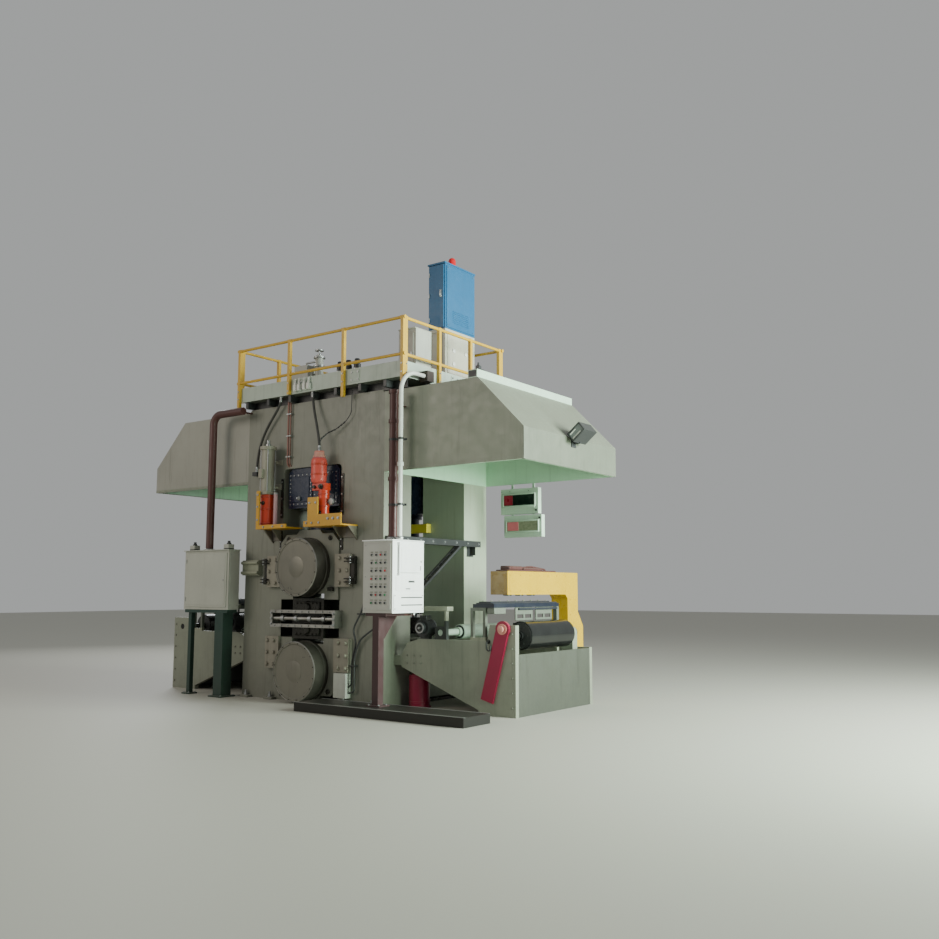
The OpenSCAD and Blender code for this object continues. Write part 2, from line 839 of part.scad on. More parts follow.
valve_column_x = -350;
roof_box_x = deck_exit - 80;

// Control boxes and the operator step

module operator_step() {
    t = 8;
    x0 = 620;
    x1 = table_end;
    y0 = -panel_y - 220;
    y1 = -chock_y1 - cover_l - 20;
    color(dark) difference() {
        box(x0, x1, y0, y1, 0, step_h);
        for (i = [0 : 3]) box(x0 + t + i * (x1 - x0 - t) / 4, x0 + (i + 1) * (x1 - x0 - t) / 4,
            y0 + t, y1 - t, -cut, step_h - t);
    }
}

panel_x = deck_exit + panel_past;
panel_x0 = panel_x - panel_w;
panel_y1 = -panel_y + panel_d;
panel_top = panel_z + panel_h;
door_pin_d = 12;
door_gap = 6;
door_x = panel_x + 22;
door_z0 = panel_z + 0.56 * panel_h;
door_h = 0.38 * panel_h;
door_y0 = -panel_y + 110;
door_y1 = panel_y1 - 60;
lug_h = 30;

// The box with the push button face, the recess behind its small door and the door's lugs
module control_box() {
    color(pale) difference() {
        union() {
            box(panel_x0, panel_x, -panel_y, panel_y1, panel_z, panel_top);
            box(panel_x0 + 30, panel_x - 30, -panel_y - 10, -panel_y, panel_z + 40, panel_top - 40);
            for (z = [door_z0 - door_gap - lug_h, door_z0 + door_h + door_gap])
                box(panel_x, door_x + 14, door_y0 - 14, door_y0 + 14, z, z + lug_h);
        }
        box(panel_x - 160, panel_x + cut, door_y0 + 30, door_y1 - 20, door_z0 + 20,
            door_z0 + door_h - 20);
        translate([door_x, door_y0, door_z0 - 60])
            cylinder(d = door_pin_d + 2 * journal_clear, h = door_h + 120, $fn = 32);
    }
}

// The small door of the control box, with its hinge barrel, pin and handle
module control_box_door() {
    leaf = 10;
    color(pale) {
        box(door_x - leaf / 2, door_x + leaf / 2, door_y0, door_y1, door_z0, door_z0 + door_h);
        translate([door_x, door_y0, door_z0]) cylinder(d = 24, h = door_h, $fn = 32);
        translate([door_x, door_y0, door_z0 - door_gap - lug_h])
            cylinder(d = door_pin_d, h = door_h + 2 * (door_gap + lug_h), $fn = 32);
        box(door_x + leaf / 2, door_x + leaf / 2 + 20, door_y1 - 50, door_y1 - 25, door_z0 + 30,
            door_z0 + 90);
    }
}

module control_post() {
    w = panel_post_w;
    x = panel_x0 + 0.31 * panel_w;
    y = -panel_y + 20;
    color(maroon) {
        box(x, x + w, y, y + w, step_h + 16, panel_z - 40);
        box(x - 60, x + w + 60, y - 40, y + w + 60, step_h, step_h + 16);
        box(x - 120, x + w + 120, y, y + panel_d - 60, panel_z - 40, panel_z);
        along_x(x + w / 2 - 8, x + w / 2 + 8) polygon([[y + w, panel_z - 40], [y + w, panel_z - 340],
            [y + w + 60, panel_z - 340], [y + w + 320, panel_z - 40]]);
    }
}

terminal_x1 = -1400;
terminal_x0 = terminal_x1 - terminal_w;
terminal_y0 = -1600;
terminal_top = panel_z + terminal_h;

module terminal_box() {
    z0 = terminal_top - terminal_h;
    y1 = terminal_y0 + terminal_d;
    frame = 40;
    lid = 14;
    gland = 110;
    color(pale) {
        box(terminal_x0, terminal_x1, terminal_y0, y1, z0, terminal_top);
        box(terminal_x0 + frame, terminal_x1 - frame, terminal_y0 - lid, terminal_y0, z0 + frame,
            terminal_top - frame);
        box(terminal_x0 - lid, terminal_x1 + lid, terminal_y0 - 2 * lid, y1 + lid, terminal_top,
            terminal_top + lid);
        for (x = [terminal_x0 + 0.3 * gland, terminal_x1 - 1.8 * gland]) box(x, x + gland,
            terminal_y0 + gland / 2, terminal_y0 + 1.5 * gland, terminal_top + lid,
            terminal_top + lid + 0.75 * gland);
    }
}

module terminal_post() {
    sole = 20;
    beam = 50;
    z1 = terminal_top - terminal_h;
    color([0.10, 0.22, 0.18]) {
        for (leg = [[terminal_x1 - 110 - terminal_post_w, terminal_post_w],
                [terminal_x0 + 40, terminal_leg_w]]) {
            y = terminal_y0 + terminal_d / 2 - leg[1] / 2;
            box(leg[0], leg[0] + leg[1], y, y + leg[1], sole, z1 - beam);
            box(leg[0] - beam, leg[0] + leg[1] + beam, y - beam, y + leg[1] + beam, 0, sole);
        }
        box(terminal_x0 + sole, terminal_x1 - sole, terminal_y0 + terminal_d / 2 - terminal_post_w / 2,
            terminal_y0 + terminal_d / 2 + terminal_post_w / 2, z1 - beam, z1);
    }
}

// A conduit of straight runs with round bends, drawn as one polygon swept along X and Z
module bend(d, r, a) {
    rotate_extrude(angle = a, $fn = 64) translate([r, 0]) circle(d = d, $fn = 24);
}

conduit_y = -outer_y - 210;
collar_h = 50;

module coupling_ring(d, x, y, z) {
    rod_z(d + 26, x, y, z, z + collar_h);
}

// The conduit from the platform edge down to the control box
module exit_conduit() {
    x = panel_x0 + 1.08 * conduit_d;
    z0 = panel_top;
    z1 = deck_z - rail_drop - 10;
    clip = 10;
    color(maroon) {
        rod_z(conduit_d, x, conduit_y, z0, z1);
        for (k = [0, 0.4, 0.78]) coupling_ring(conduit_d, x, conduit_y, z0 + k * (z1 - z0));
        coupling_ring(conduit_d, x, conduit_y, z1 - collar_h);
        box(panel_x0 + conduit_d / 2 + clip, x + conduit_d / 2 - clip, conduit_y, -outer_y,
            z0 + 0.9 * (z1 - z0), z0 + 0.9 * (z1 - z0) + clip);
    }
}

// The conduit that leaves the platform to the entry side and drops to the terminal box
module entry_conduit() {
    x = terminal_x0 + 3.7 * conduit_d;
    y = conduit_y - 30;
    r = 160;
    z1 = housing_h - 50;
    clip = 20;
    color(maroon) {
        rod_z(conduit_d, x, y, terminal_top + 14, z1 - r);
        translate([x + r, y, z1 - r]) rotate([90, 0, 0]) rotate([0, 0, 90]) bend(conduit_d, r, 90);
        rod_x(conduit_d, y, z1, x + r, -half_w + 120);
        box(-half_w + clip, -half_w + 3 * clip, y, -outer_y, z1 - clip / 2, z1 + clip / 2);
    }
}

// The white conduit beside it, which bends over the platform edge into a junction box
module white_conduit() {
    x = deck_exit + 90;
    y = conduit_y - 40;
    r = 300;
    z1 = deck_z + 50;
    run = 200;
    junction = 150;
    color(pale) {
        rod_z(white_d, x, y, panel_top, z1 - r);
        translate([x, y + r, z1 - r]) rotate([90, 0, -90]) bend(white_d, r, 90);
        translate([x, y + r + run, z1]) rotate([90, 0, 0]) cylinder(d = white_d, h = run, $fn = 24);
        for (k = [0, 0.5]) coupling_ring(white_d, x, y, panel_top + k * (z1 - r - panel_top));
    }
    color(dark) box(deck_exit, deck_exit + junction, y + r + run, y + r + run + junction,
        z1 - junction / 2, z1 + junction / 2);
}

// Tables

deflector_z = pass_z - deflector_d / 2;
table_roll_z = table_top + 90;
table_lift = 210;
table_drop = 150;
pedestal_y = 660;
table_raise_x = table_end - 400;
table_foot_x = table_end - 580;
table_nose_z = 560;

// Outline of a table side plate: nose, sloped belly, foot and the raised end for the bearing
module table_plate_outline(lift) {
    polygon([[table_nose, table_nose_z], [table_foot_x, 60], [table_foot_x, 0], [table_end, 0],
        [table_end, table_top + lift], [table_raise_x, table_top + lift],
        [table_raise_x - 40, table_top], [table_nose + 320, table_top],
        [table_nose + 100, table_top - 60], [table_nose, table_top - 220]]);
}

// The pedestal that carries the drive side journal of the deflector roll
module pedestal() {
    w = 180;
    r = w / 2;
    along_y(pedestal_y, pedestal_y + 130) {
        translate([deflector_x, deflector_z]) circle(r = r, $fn = 48);
        translate([deflector_x - r, table_nose_z + 70]) square([w, deflector_z - table_nose_z - 70]);
    }
}

// The table frame: two side plates, the drive side one low at its end, an end wall below the
// roll, a floor, a nose beam and the pedestal
module table() {
    bore = journal_d + 2 * journal_clear;
    inner = table_half - table_t;
    color(green) {
        difference() {
            union() {
                mirror([0, 1, 0]) along_y(inner, table_half) table_plate_outline(table_lift);
                along_y(inner, table_half) table_plate_outline(-table_drop);
                pedestal();
            }
            rod_y(bore, deflector_x, deflector_z, -table_half - cut, table_half + cut);
        }
        box(table_end - 30, table_end, -inner, inner, 0, deflector_z - deflector_d / 2 - 30);
        box(table_nose + 60, table_nose + 180, -inner, inner, table_nose_z, table_nose_z + 160);
        mirror_copy_y() box(half_w, table_nose, inner, table_half, table_nose_z + 20,
            table_nose_z + 150);
        box(table_nose + 180, table_end - 30, -inner, inner, table_nose_z + 60, table_nose_z + 80);
    }
}

module exit_table() {
    table();
}

module entry_table() {
    mirror([1, 0, 0]) table();
}

// A roll with stepped journals, the drive side one as long as its bearing needs
module plain_roll(d, drive_y) {
    end_y = table_half - 10;
    r = d / 2;
    j = journal_d / 2;
    b = 8;
    rotate([90, 0, 0]) rotate_extrude($fn = 64) polygon([[0, -drive_y], [j - 4, -drive_y],
        [j, -drive_y + 4], [j, -deflector_l / 2 - 60], [j + 20, -deflector_l / 2 - 60],
        [j + 20, -deflector_l / 2], [r - b, -deflector_l / 2], [r, -deflector_l / 2 + b],
        [r, deflector_l / 2 - b], [r - b, deflector_l / 2], [j + 20, deflector_l / 2],
        [j + 20, deflector_l / 2 + 60], [j, deflector_l / 2 + 60], [j, end_y - 4], [j - 4, end_y],
        [0, end_y]]);
}

module exit_deflector_roll() {
    color(steel) translate([deflector_x, 0, deflector_z]) plain_roll(deflector_d, pedestal_y + 140);
}

module entry_deflector_roll() {
    color(steel) translate([-deflector_x, 0, deflector_z]) plain_roll(deflector_d, pedestal_y + 140);
}

module exit_table_roll() {
    color(pale) translate([table_roll_x, 0, table_roll_z]) plain_roll(table_roll_d, table_half - 10);
}

module entry_table_roll() {
    color(pale) translate([-table_roll_x, 0, table_roll_z]) plain_roll(table_roll_d, table_half - 10);
}

// The bearing blocks of the table roll, the guide bridge, the guide head and the motor
module table_fittings() {
    inner = table_half - table_t;
    block = 170;
    bridge_y = 640;
    x0 = gauge_x - gauge_w + 20;
    x1 = table_raise_x + 10;
    frame = 40;
    head_x = table_nose + 390;
    head_l = 400;
    color(dark) difference() {
        mirror_copy_y() box(table_roll_x - block / 2, table_roll_x + block / 2, inner, table_half,
            table_top, table_roll_z + 80);
        rod_y(journal_d + 2 * journal_clear, table_roll_x, table_roll_z, -table_half - cut,
            table_half + cut);
    }
    color(green) {
        difference() {
            box(x0, x1 - 80, -table_half, -table_half + 50, table_top, guide_z);
            box(x0 + frame, x1 - 80 - frame, -table_half - cut, -table_half + 50 + cut,
                table_top + frame, guide_z - frame);
        }
        box(x1, x1 + 60, bridge_y - 60, bridge_y, table_nose_z + 80, guide_z);
        box(head_x, head_x + head_l, -table_half, -table_half + 140, guide_z - 50, guide_z + 10);
        box(head_x + head_l - 45, head_x + head_l - 15, -table_half, -table_half + 60, table_top,
            guide_z - 50);
    }
    color(navy) box(x0 + frame, x1 + 60, -table_half, bridge_y, guide_z, guide_z + 50);
    color(dark) {
        rod_y(230, motor_x, table_top + 150, -table_half - 60, -inner + 60);
        rod_y(150, motor_x, table_top + 150, -table_half - 100, -table_half - 60);
        box(motor_x - 70, motor_x + 70, -table_half, -inner, table_top, table_top + 70);
    }
}

gauge_leg_y = 1100;
motor_x = table_nose + 400;

module exit_table_fittings() {
    table_fittings();
}

module entry_table_fittings() {
    mirror([1, 0, 0]) table_fittings();
}

// The crimson bar that leans on the operator side of the exit table
module lever_bar() {
    t = 36;
    w = 190;
    x1 = deflector_x + 30;
    x0 = x1 - 250;
    z0 = step_h - 30;
    z1 = deflector_z + 100;
    y1 = -table_half - seat;
    color(crimson) {
        slant_bar(x0, z0 + w / 2, x1, z1, w, y1 - t, y1);
        rod_y(w + 20, x1, z1, y1 - t, y1);
    }
    color(dark) rod_y(50, x1, z1, y1 - t - 30, y1 - t);
}

// The crimson cylinder that carries the nose of the exit table, on its foot
module lift_cylinder() {
    x = table_nose + 120;
    y = -table_half + 250;
    sole = 20;
    body_h = table_nose_z - 120;
    color(crimson) {
        rod_z(290, x, y, sole, body_h);
        rod_z(330, x, y, 0, sole);
    }
    color(steel) rod_z(120, x, y, body_h, table_nose_z);
}

// Outline of the strip gauge across the strip: two arms and the back leg
module gauge_outline() {
    top = gauge_z + gauge_h;
    low = table_top + seat;
    foot = 740;
    reach = 150;
    mouth = low + gauge_low_h;
    polygon([[-gauge_nose, gauge_z], [-gauge_nose, top], [gauge_back, top],
        [gauge_back, mouth + 1.4 * reach], [gauge_back + reach, mouth], [gauge_back + reach, foot],
        [table_half + seat, foot], [table_half + seat, low], [-gauge_nose, low],
        [-gauge_nose, mouth], [gauge_leg_y - 60, mouth], [gauge_leg_y, mouth + 60],
        [gauge_leg_y, gauge_z - 60], [gauge_leg_y - 60, gauge_z]]);
}

module strip_gauge() {
    color(yellow) along_x(gauge_x - gauge_w, gauge_x) gauge_outline();
}

// Two readouts on straps that hang from the rear wall of the exit hood
module readouts() {
    x1 = readout_x + readout_l;
    shift = 60;
    depth = 90;
    frame = 60;
    strap = 40;
    y1 = outer_y - hood_t;
    y0 = y1 - depth;
    z1 = hood_z - readout_drop;
    z0 = z1 - readout_h;
    low1 = z0 - readout_gap;
    low0 = low1 - readout_low_h;
    color(pale_green) {
        box(readout_x, x1, y0, y1, z0, z1);
        box(readout_x + shift, x1 + shift, y0, y1, low0, low1);
        for (x = [readout_x + 140, x1 - 160]) box(x, x + strap, y1, outer_y, low0 + 20, hood_z);
    }
    color(dark) {
        box(readout_x + frame, x1 - frame, y0 - 12, y0, z0 + 1.5 * frame, z1 - 1.5 * frame);
        box(readout_x + shift + frame, x1 + shift - frame, y0 - 12, y0, low0 + 1.5 * frame,
            low1 - 1.5 * frame);
    }
}

module floodlight() {
    x = half_w + hood_l;
    z = hood_z + hood_wall_h - 75;
    y = 0;
    plate = 60;
    arm = 24;
    color(dark) {
        box(x, x + hood_t, y - plate, y + plate, z - plate, z + plate);
        box(x + hood_t, x + 2 * plate, y - arm / 2, y + arm / 2, z - arm / 2, z + arm / 2);
        box(x + 2 * plate - arm, x + 2 * plate, y - arm / 2, y + arm / 2, z, z + 2 * plate);
        translate([x + 2.4 * plate, y, z + 2.1 * plate]) rotate([0, 50, 0])
            cube([150, 330, 240], center = true);
    }
}

// The beam across the exit faces of the housings, with its braces
module service_beam() {
    x0 = half_w;
    brace = 40;
    y0 = -inner_y - 50;
    y1 = inner_y - 240;
    chord = 30;
    rung = 10;
    steps = 8;
    color(dark) {
        box(x0, x0 + beam_w, -outer_y + brace, outer_y - 8 * brace, beam_z, beam_z + beam_h);
        for (x = [x0, x0 + beam_w - brace]) along_x(x, x + brace) polygon([[y0 - chord, brace_z],
            [y0 + chord, brace_z], [y1 + chord, beam_z], [y1 - chord, beam_z]]);
        for (i = [1 : steps - 1]) {
            y = y0 + i * (y1 - y0) / steps;
            z = brace_z + i * (beam_z - brace_z) / steps;
            box(x0 + brace, x0 + beam_w - brace, y - rung, y + rung, z - rung, z + rung);
        }
    }
}

module cable_duct() {
    x1 = half_w + hood_roof - 10;
    z = housing_h - hood_drop;
    color(pale_green) box(x1 - 150, x1, -outer_y, outer_y, z, z + 110);
}

// Fittings bolted to the posts: the grey box low on the exit post, the hose block high on the
// entry post and the clamp at its edge
manifold_x = -1165;
manifold_z = 3440;
manifold = 100;

module post_fittings() {
    lube_w = 230;
    lube_d = 110;
    lube_z = 110;
    lube_h = keeper_low_z - lube_z - 10;
    clamp_x = -half_w + 20;
    color(pale) box(window_w / 2 + 10, window_w / 2 + 10 + lube_w, -outer_y - lube_d, -outer_y, lube_z,
        lube_z + lube_h);
    color(dark) box(manifold_x - manifold / 2, manifold_x + manifold / 2, -outer_y - manifold, -outer_y,
        manifold_z - 60, manifold_z);
    color(green) {
        box(clamp_x, clamp_x + 360, -outer_y - 80, -outer_y, 1840, 2070);
        for (z = [1880, 2030]) rod_x(50, -outer_y - 90, z, clamp_x, clamp_x + 360);
    }
}

// A hose along a curve that four points set
function bezier(p, t) = pow(1 - t, 3) * p[0] + 3 * t * pow(1 - t, 2) * p[1]
    + 3 * t * t * (1 - t) * p[2] + t * t * t * p[3];
function slope(p, t) = pow(1 - t, 2) * (p[1] - p[0]) + 2 * t * (1 - t) * (p[2] - p[1])
    + t * t * (p[3] - p[2]);
function unit(v) = v / norm(v);

module hose(p) {
    sides = 10;
    steps = 18;
    ring = [for (i = [0 : steps], k = [0 : sides - 1]) let (t = i / steps,
        u = unit(cross(slope(p, t), [0, 1, 0])), v = unit(cross(slope(p, t), u)))
        bezier(p, t) + hose_d / 2 * (cos(360 * k / sides) * u + sin(360 * k / sides) * v)];
    ends = [[for (k = [sides - 1 : -1 : 0]) k], [for (k = [0 : sides - 1]) steps * sides + k]];
    wall = [for (i = [0 : steps - 1], k = [0 : sides - 1]) let (a = i * sides + k,
        b = i * sides + (k + 1) % sides) each [[a, b, b + sides], [a, b + sides, a + sides]]];
    polyhedron(ring, concat(ends, wall));
}

hose_y = -deck_front + 40;

module entry_hose() {
    y1 = -outer_y - manifold / 2;
    color(dark) hose([[-620, hose_y, deck_z], [-620, hose_y, deck_z - 270],
        [manifold_x, y1, deck_z - 420], [manifold_x, y1, manifold_z]]);
}

module exit_hose() {
    top = bottle_z + bottle_h;
    color(dark) hose([[60, hose_y, deck_z], [60, hose_y, deck_z - 320],
        [bottle_x, bottle_y, top + 310], [bottle_x, bottle_y, top]]);
}

operator_housing();
drive_housing();
tie_beams();
floor_pan();
upper_backup_chocks();
lower_backup_chocks();
upper_bearing_covers();
lower_bearing_covers();
upper_backup_roll();
lower_backup_roll();
upper_work_roll();
lower_work_roll();
work_roll_chocks();
press_cylinders();
front_brackets();
inner_brackets();
accumulators();
balance_cylinder();
keeper_plates();
work_roll_frame();
exit_hood();
entry_hood();
platform_joists();
platform_deck();
platform_fascia();
front_handrail();
rear_handrail();
exit_handrail();
entry_handrail();
roof_cabinet();
cabinet_stand();
warning_beacon();
roof_valves();
control_box();
control_box_door();
control_post();
terminal_box();
terminal_post();
operator_step();
exit_conduit();
entry_conduit();
white_conduit();
exit_table();
entry_table();
exit_table_fittings();
entry_table_fittings();
exit_deflector_roll();
entry_deflector_roll();
exit_table_roll();
entry_table_roll();
lever_bar();
lift_cylinder();
strip_gauge();
readouts();
floodlight();
service_beam();
cable_duct();
post_fittings();
entry_hose();
exit_hose();
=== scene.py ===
"""Rolling mill stand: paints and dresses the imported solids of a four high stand.

Every piece is placed in metres in the frame of the solids: X along the strip towards the
exit, Y towards the drive side, Z up from the shop floor.
"""

import logging
import math
from dataclasses import dataclass
from enum import Enum
from typing import Iterable, Optional, Sequence

import bmesh
import bpy
from mathutils import Matrix, Vector


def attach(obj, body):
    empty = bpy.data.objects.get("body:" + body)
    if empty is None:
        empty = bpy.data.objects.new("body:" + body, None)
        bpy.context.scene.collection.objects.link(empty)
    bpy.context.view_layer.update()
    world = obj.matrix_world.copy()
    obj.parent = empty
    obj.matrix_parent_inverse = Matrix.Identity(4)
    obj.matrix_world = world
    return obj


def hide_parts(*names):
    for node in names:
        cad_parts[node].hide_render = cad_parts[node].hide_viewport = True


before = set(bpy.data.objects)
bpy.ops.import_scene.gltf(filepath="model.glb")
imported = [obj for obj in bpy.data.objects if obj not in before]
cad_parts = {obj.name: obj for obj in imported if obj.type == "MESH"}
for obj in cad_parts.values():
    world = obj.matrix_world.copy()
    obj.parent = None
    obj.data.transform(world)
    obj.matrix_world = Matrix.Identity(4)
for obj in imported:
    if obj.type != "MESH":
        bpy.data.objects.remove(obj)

LOG = logging.getLogger("mill_stand")
Point = tuple[float, float, float]
Flat = tuple[float, float]
STAND = "stand"
DARK_STEEL = "dark_steel"
# Edges flatter than this shade smooth
SMOOTH_ANGLE = math.radians(38.0)
# Settings of a node that mixes two colours
COLOURS = {"data_type": "RGBA"}
# Paints that more than one group of parts has
# Bright green of the hoods' insides: painted light, as if their undersides were lit
HOOD_INSIDE_PAINTED_LIGHT = "#b4d9bb"
DARK_PAINT = "#2b2d2e"


class Axis(Enum):
    """Directions that a piece can face."""

    RIGHT = (1.0, 0.0, 0.0)
    LEFT = (-1.0, 0.0, 0.0)
    BACK = (0.0, 1.0, 0.0)
    FRONT = (0.0, -1.0, 0.0)
    UP = (0.0, 0.0, 1.0)
    DOWN = (0.0, 0.0, -1.0)

    @property
    def vector(self) -> Vector:
        """The direction as a vector."""
        return Vector(self.value)


def linear_rgba(code: str) -> tuple[float, float, float, float]:
    """Turns an sRGB hex colour into a linear one.

    Args:
        code: six hex digits after a hash, such as "#7f8271".

    Returns:
        Red, green, blue and an alpha of 1, linear.
    """
    parts = [int(code[i : i + 2], 16) / 255 for i in (1, 3, 5)]
    r, g, b = (c / 12.92 if c <= 0.04045 else ((c + 0.055) / 1.055) ** 2.4 for c in parts)
    return (r, g, b, 1.0)


def add_node(tree: bpy.types.NodeTree, kind: str, settings: dict, sockets: dict) -> bpy.types.Node:
    """Adds one node with its settings and links.

    Args:
        tree: the material's node tree.
        kind: the node's type, such as "ShaderNodeTexNoise".
        settings: properties of the node by name.
        sockets: values or output sockets by the input's name or index.

    Returns:
        The new node.
    """
    made = tree.nodes.new(kind)
    for key, value in settings.items():
        setattr(made, key, value)
    for key, value in sockets.items():
        if isinstance(value, bpy.types.NodeSocket):
            tree.links.new(value, made.inputs[key])
        else:
            made.inputs[key].default_value = value
    return made


@dataclass(frozen=True)
class Finish:
    """A surface finish. Its name is the real material's name."""

    name: str
    colour: str
    roughness: float = 0.45

    def start(self) -> tuple[bpy.types.Material, bpy.types.NodeTree, bpy.types.Node]:
        """Makes an empty node material with its principled shader.

        Returns:
            The material, its tree and the shader node.
        """
        material = bpy.data.materials.new(self.name)
        material.use_nodes = True
        tree = material.node_tree
        shader = tree.nodes["Principled BSDF"]
        shader.inputs["Base Color"].default_value = linear_rgba(self.colour)
        shader.inputs["Roughness"].default_value = self.roughness
        return material, tree, shader

    def build(self) -> bpy.types.Material:
        """Makes the material."""
        return self.start()[0]


@dataclass(frozen=True)
class Enamel(Finish):
    """Shop painted machine enamel on cast or plate steel: semi gloss, a little uneven, with runs,
    soil and painted shade darkening its lower parts, and small knocks down to the dark primer."""

    runs: float = 0.25
    soil_and_shade: float = 0.35
    soil_colour: str = "#3b362d"
    soil_and_shade_height: float = 1.4
    knocks: float = 0.25
    primer: str = "#4a4038"
    dust: float = 0.2
    metallic: float = 0.0

    def build(self) -> bpy.types.Material:
        """Makes the enamel with its runs, soil and painted shade low down, dust and knocks."""
        material, tree, shader = self.start()
        place = add_node(tree, "ShaderNodeTexCoord", {}, {}).outputs["Object"]
        # Clouding of the sprayed coat, patches of about 0.7 m
        cloud = add_node(tree, "ShaderNodeTexNoise", {}, {"Vector": place, "Scale": 1.4,
            "Detail": 5.0, "Roughness": 0.62})
        # Runs down the walls, about 80 mm apart and 1.1 m long
        stretch = add_node(tree, "ShaderNodeMapping", {}, {"Vector": place,
            "Scale": (13.0, 13.0, 0.9)})
        run = add_node(tree, "ShaderNodeTexNoise", {}, {"Vector": stretch.outputs[0],
            "Scale": 1.0, "Detail": 4.0, "Roughness": 0.7, "Distortion": 0.4})
        run_mask = add_node(tree, "ShaderNodeMapRange", {"interpolation_type": "SMOOTHSTEP"},
            {"Value": run.outputs["Fac"], "From Min": 0.5, "From Max": 0.78, "To Min": 0.0,
             "To Max": self.runs})
        base = linear_rgba(self.colour)
        light = tuple(min(1.0, c * 1.16 + 0.008) for c in base[:3]) + (1.0,)
        deep = tuple(c * 0.80 for c in base[:3]) + (1.0,)
        clouded = add_node(tree, "ShaderNodeMix", COLOURS,
            {0: cloud.outputs["Fac"], 6: deep, 7: light})
        streaked = add_node(tree, "ShaderNodeMix", COLOURS,
            {0: run_mask.outputs[0], 6: clouded.outputs[2], 7: linear_rgba(self.soil_colour)})
        # Darker towards the floor: soil, and painted shade low down
        height = add_node(tree, "ShaderNodeSeparateXYZ", {}, {0: place})
        low = add_node(tree, "ShaderNodeMapRange", {}, {"Value": height.outputs["Z"],
            "From Min": 0.0, "From Max": self.soil_and_shade_height, "To Min": self.soil_and_shade, "To Max": 0.0})
        blotch = add_node(tree, "ShaderNodeTexNoise", {}, {"Vector": place, "Scale": 7.0,
            "Detail": 6.0, "Roughness": 0.7})
        soil_and_shade_mask = add_node(tree, "ShaderNodeMath", {"operation": "MULTIPLY"},
            {0: low.outputs[0], 1: blotch.outputs["Fac"]})
        soiled_and_shaded = add_node(tree, "ShaderNodeMix", COLOURS,
            {0: soil_and_shade_mask.outputs[0], 6: streaked.outputs[2], 7: linear_rgba(self.soil_colour)})
        # Pale dust on faces that look up
        facing = add_node(tree, "ShaderNodeSeparateXYZ", {},
            {0: add_node(tree, "ShaderNodeNewGeometry", {}, {}).outputs["True Normal"]})
        top = add_node(tree, "ShaderNodeMapRange", {}, {"Value": facing.outputs["Z"],
            "From Min": 0.5, "From Max": 1.0, "To Min": 0.0, "To Max": self.dust})
        dusty = add_node(tree, "ShaderNodeMix", COLOURS,
            {0: top.outputs[0], 6: soiled_and_shaded.outputs[2], 7: linear_rgba("#b4ae9e")})
        # Knocks, chips of 10 to 40 mm in the paint
        chip = add_node(tree, "ShaderNodeTexNoise", {}, {"Vector": place, "Scale": 19.0,
            "Detail": 8.0, "Roughness": 0.75})
        chip_mask = add_node(tree, "ShaderNodeMapRange", {}, {"Value": chip.outputs["Fac"],
            "From Min": 0.70, "From Max": 0.73, "To Min": 0.0, "To Max": self.knocks})
        final = add_node(tree, "ShaderNodeMix", COLOURS,
            {0: chip_mask.outputs[0], 6: dusty.outputs[2], 7: linear_rgba(self.primer)})
        tree.links.new(final.outputs[2], shader.inputs["Base Color"])
        sheen = add_node(tree, "ShaderNodeMapRange", {}, {"Value": blotch.outputs["Fac"],
            "From Min": 0.3, "From Max": 0.7, "To Min": self.roughness - 0.08,
            "To Max": self.roughness + 0.14})
        tree.links.new(sheen.outputs[0], shader.inputs["Roughness"])
        shader.inputs["Metallic"].default_value = self.metallic
        # Orange peel of the paint, 4 mm, drawn as 12 mm so that it shows
        peel = add_node(tree, "ShaderNodeTexNoise", {}, {"Vector": place, "Scale": 85.0,
            "Detail": 3.0})
        bump = add_node(tree, "ShaderNodeBump", {}, {"Strength": 0.10, "Distance": 0.004,
            "Height": peel.outputs["Fac"]})
        tree.links.new(bump.outputs[0], shader.inputs["Normal"])
        return material


@dataclass(frozen=True)
class GroundSteel(Finish):
    """Ground and oiled roll steel: metallic, with fine marks round its axis and oil film."""

    marks: Axis = Axis.BACK
    contrast: float = 0.35
    film: str = "#4c4a43"

    def build(self) -> bpy.types.Material:
        """Makes the steel with its grinding marks and oil."""
        material, tree, shader = self.start()
        place = add_node(tree, "ShaderNodeTexCoord", {}, {}).outputs["Object"]
        # Grinding marks under 1 mm apart, drawn 6 mm apart so that they show
        along = tuple(160.0 if abs(c) > 0.5 else 3.0 for c in self.marks.value)
        lay = add_node(tree, "ShaderNodeMapping", {}, {"Vector": place, "Scale": along})
        marks = add_node(tree, "ShaderNodeTexNoise", {}, {"Vector": lay.outputs[0],
            "Scale": 1.0, "Detail": 3.0, "Roughness": 0.6})
        oil = add_node(tree, "ShaderNodeTexNoise", {}, {"Vector": place, "Scale": 5.0,
            "Detail": 6.0, "Roughness": 0.65})
        oil_mask = add_node(tree, "ShaderNodeMapRange", {}, {"Value": oil.outputs["Fac"],
            "From Min": 0.42, "From Max": 0.72, "To Min": 0.0, "To Max": self.contrast})
        colour = add_node(tree, "ShaderNodeMix", COLOURS,
            {0: oil_mask.outputs[0], 6: linear_rgba(self.colour), 7: linear_rgba(self.film)})
        tree.links.new(colour.outputs[2], shader.inputs["Base Color"])
        shader.inputs["Metallic"].default_value = 1.0
        rough = add_node(tree, "ShaderNodeMapRange", {}, {"Value": marks.outputs["Fac"],
            "From Min": 0.3, "From Max": 0.7, "To Min": self.roughness - 0.07,
            "To Max": self.roughness + 0.10})
        tree.links.new(rough.outputs[0], shader.inputs["Roughness"])
        bump = add_node(tree, "ShaderNodeBump", {}, {"Strength": 0.12, "Distance": 0.001,
            "Height": marks.outputs["Fac"]})
        tree.links.new(bump.outputs[0], shader.inputs["Normal"])
        return material


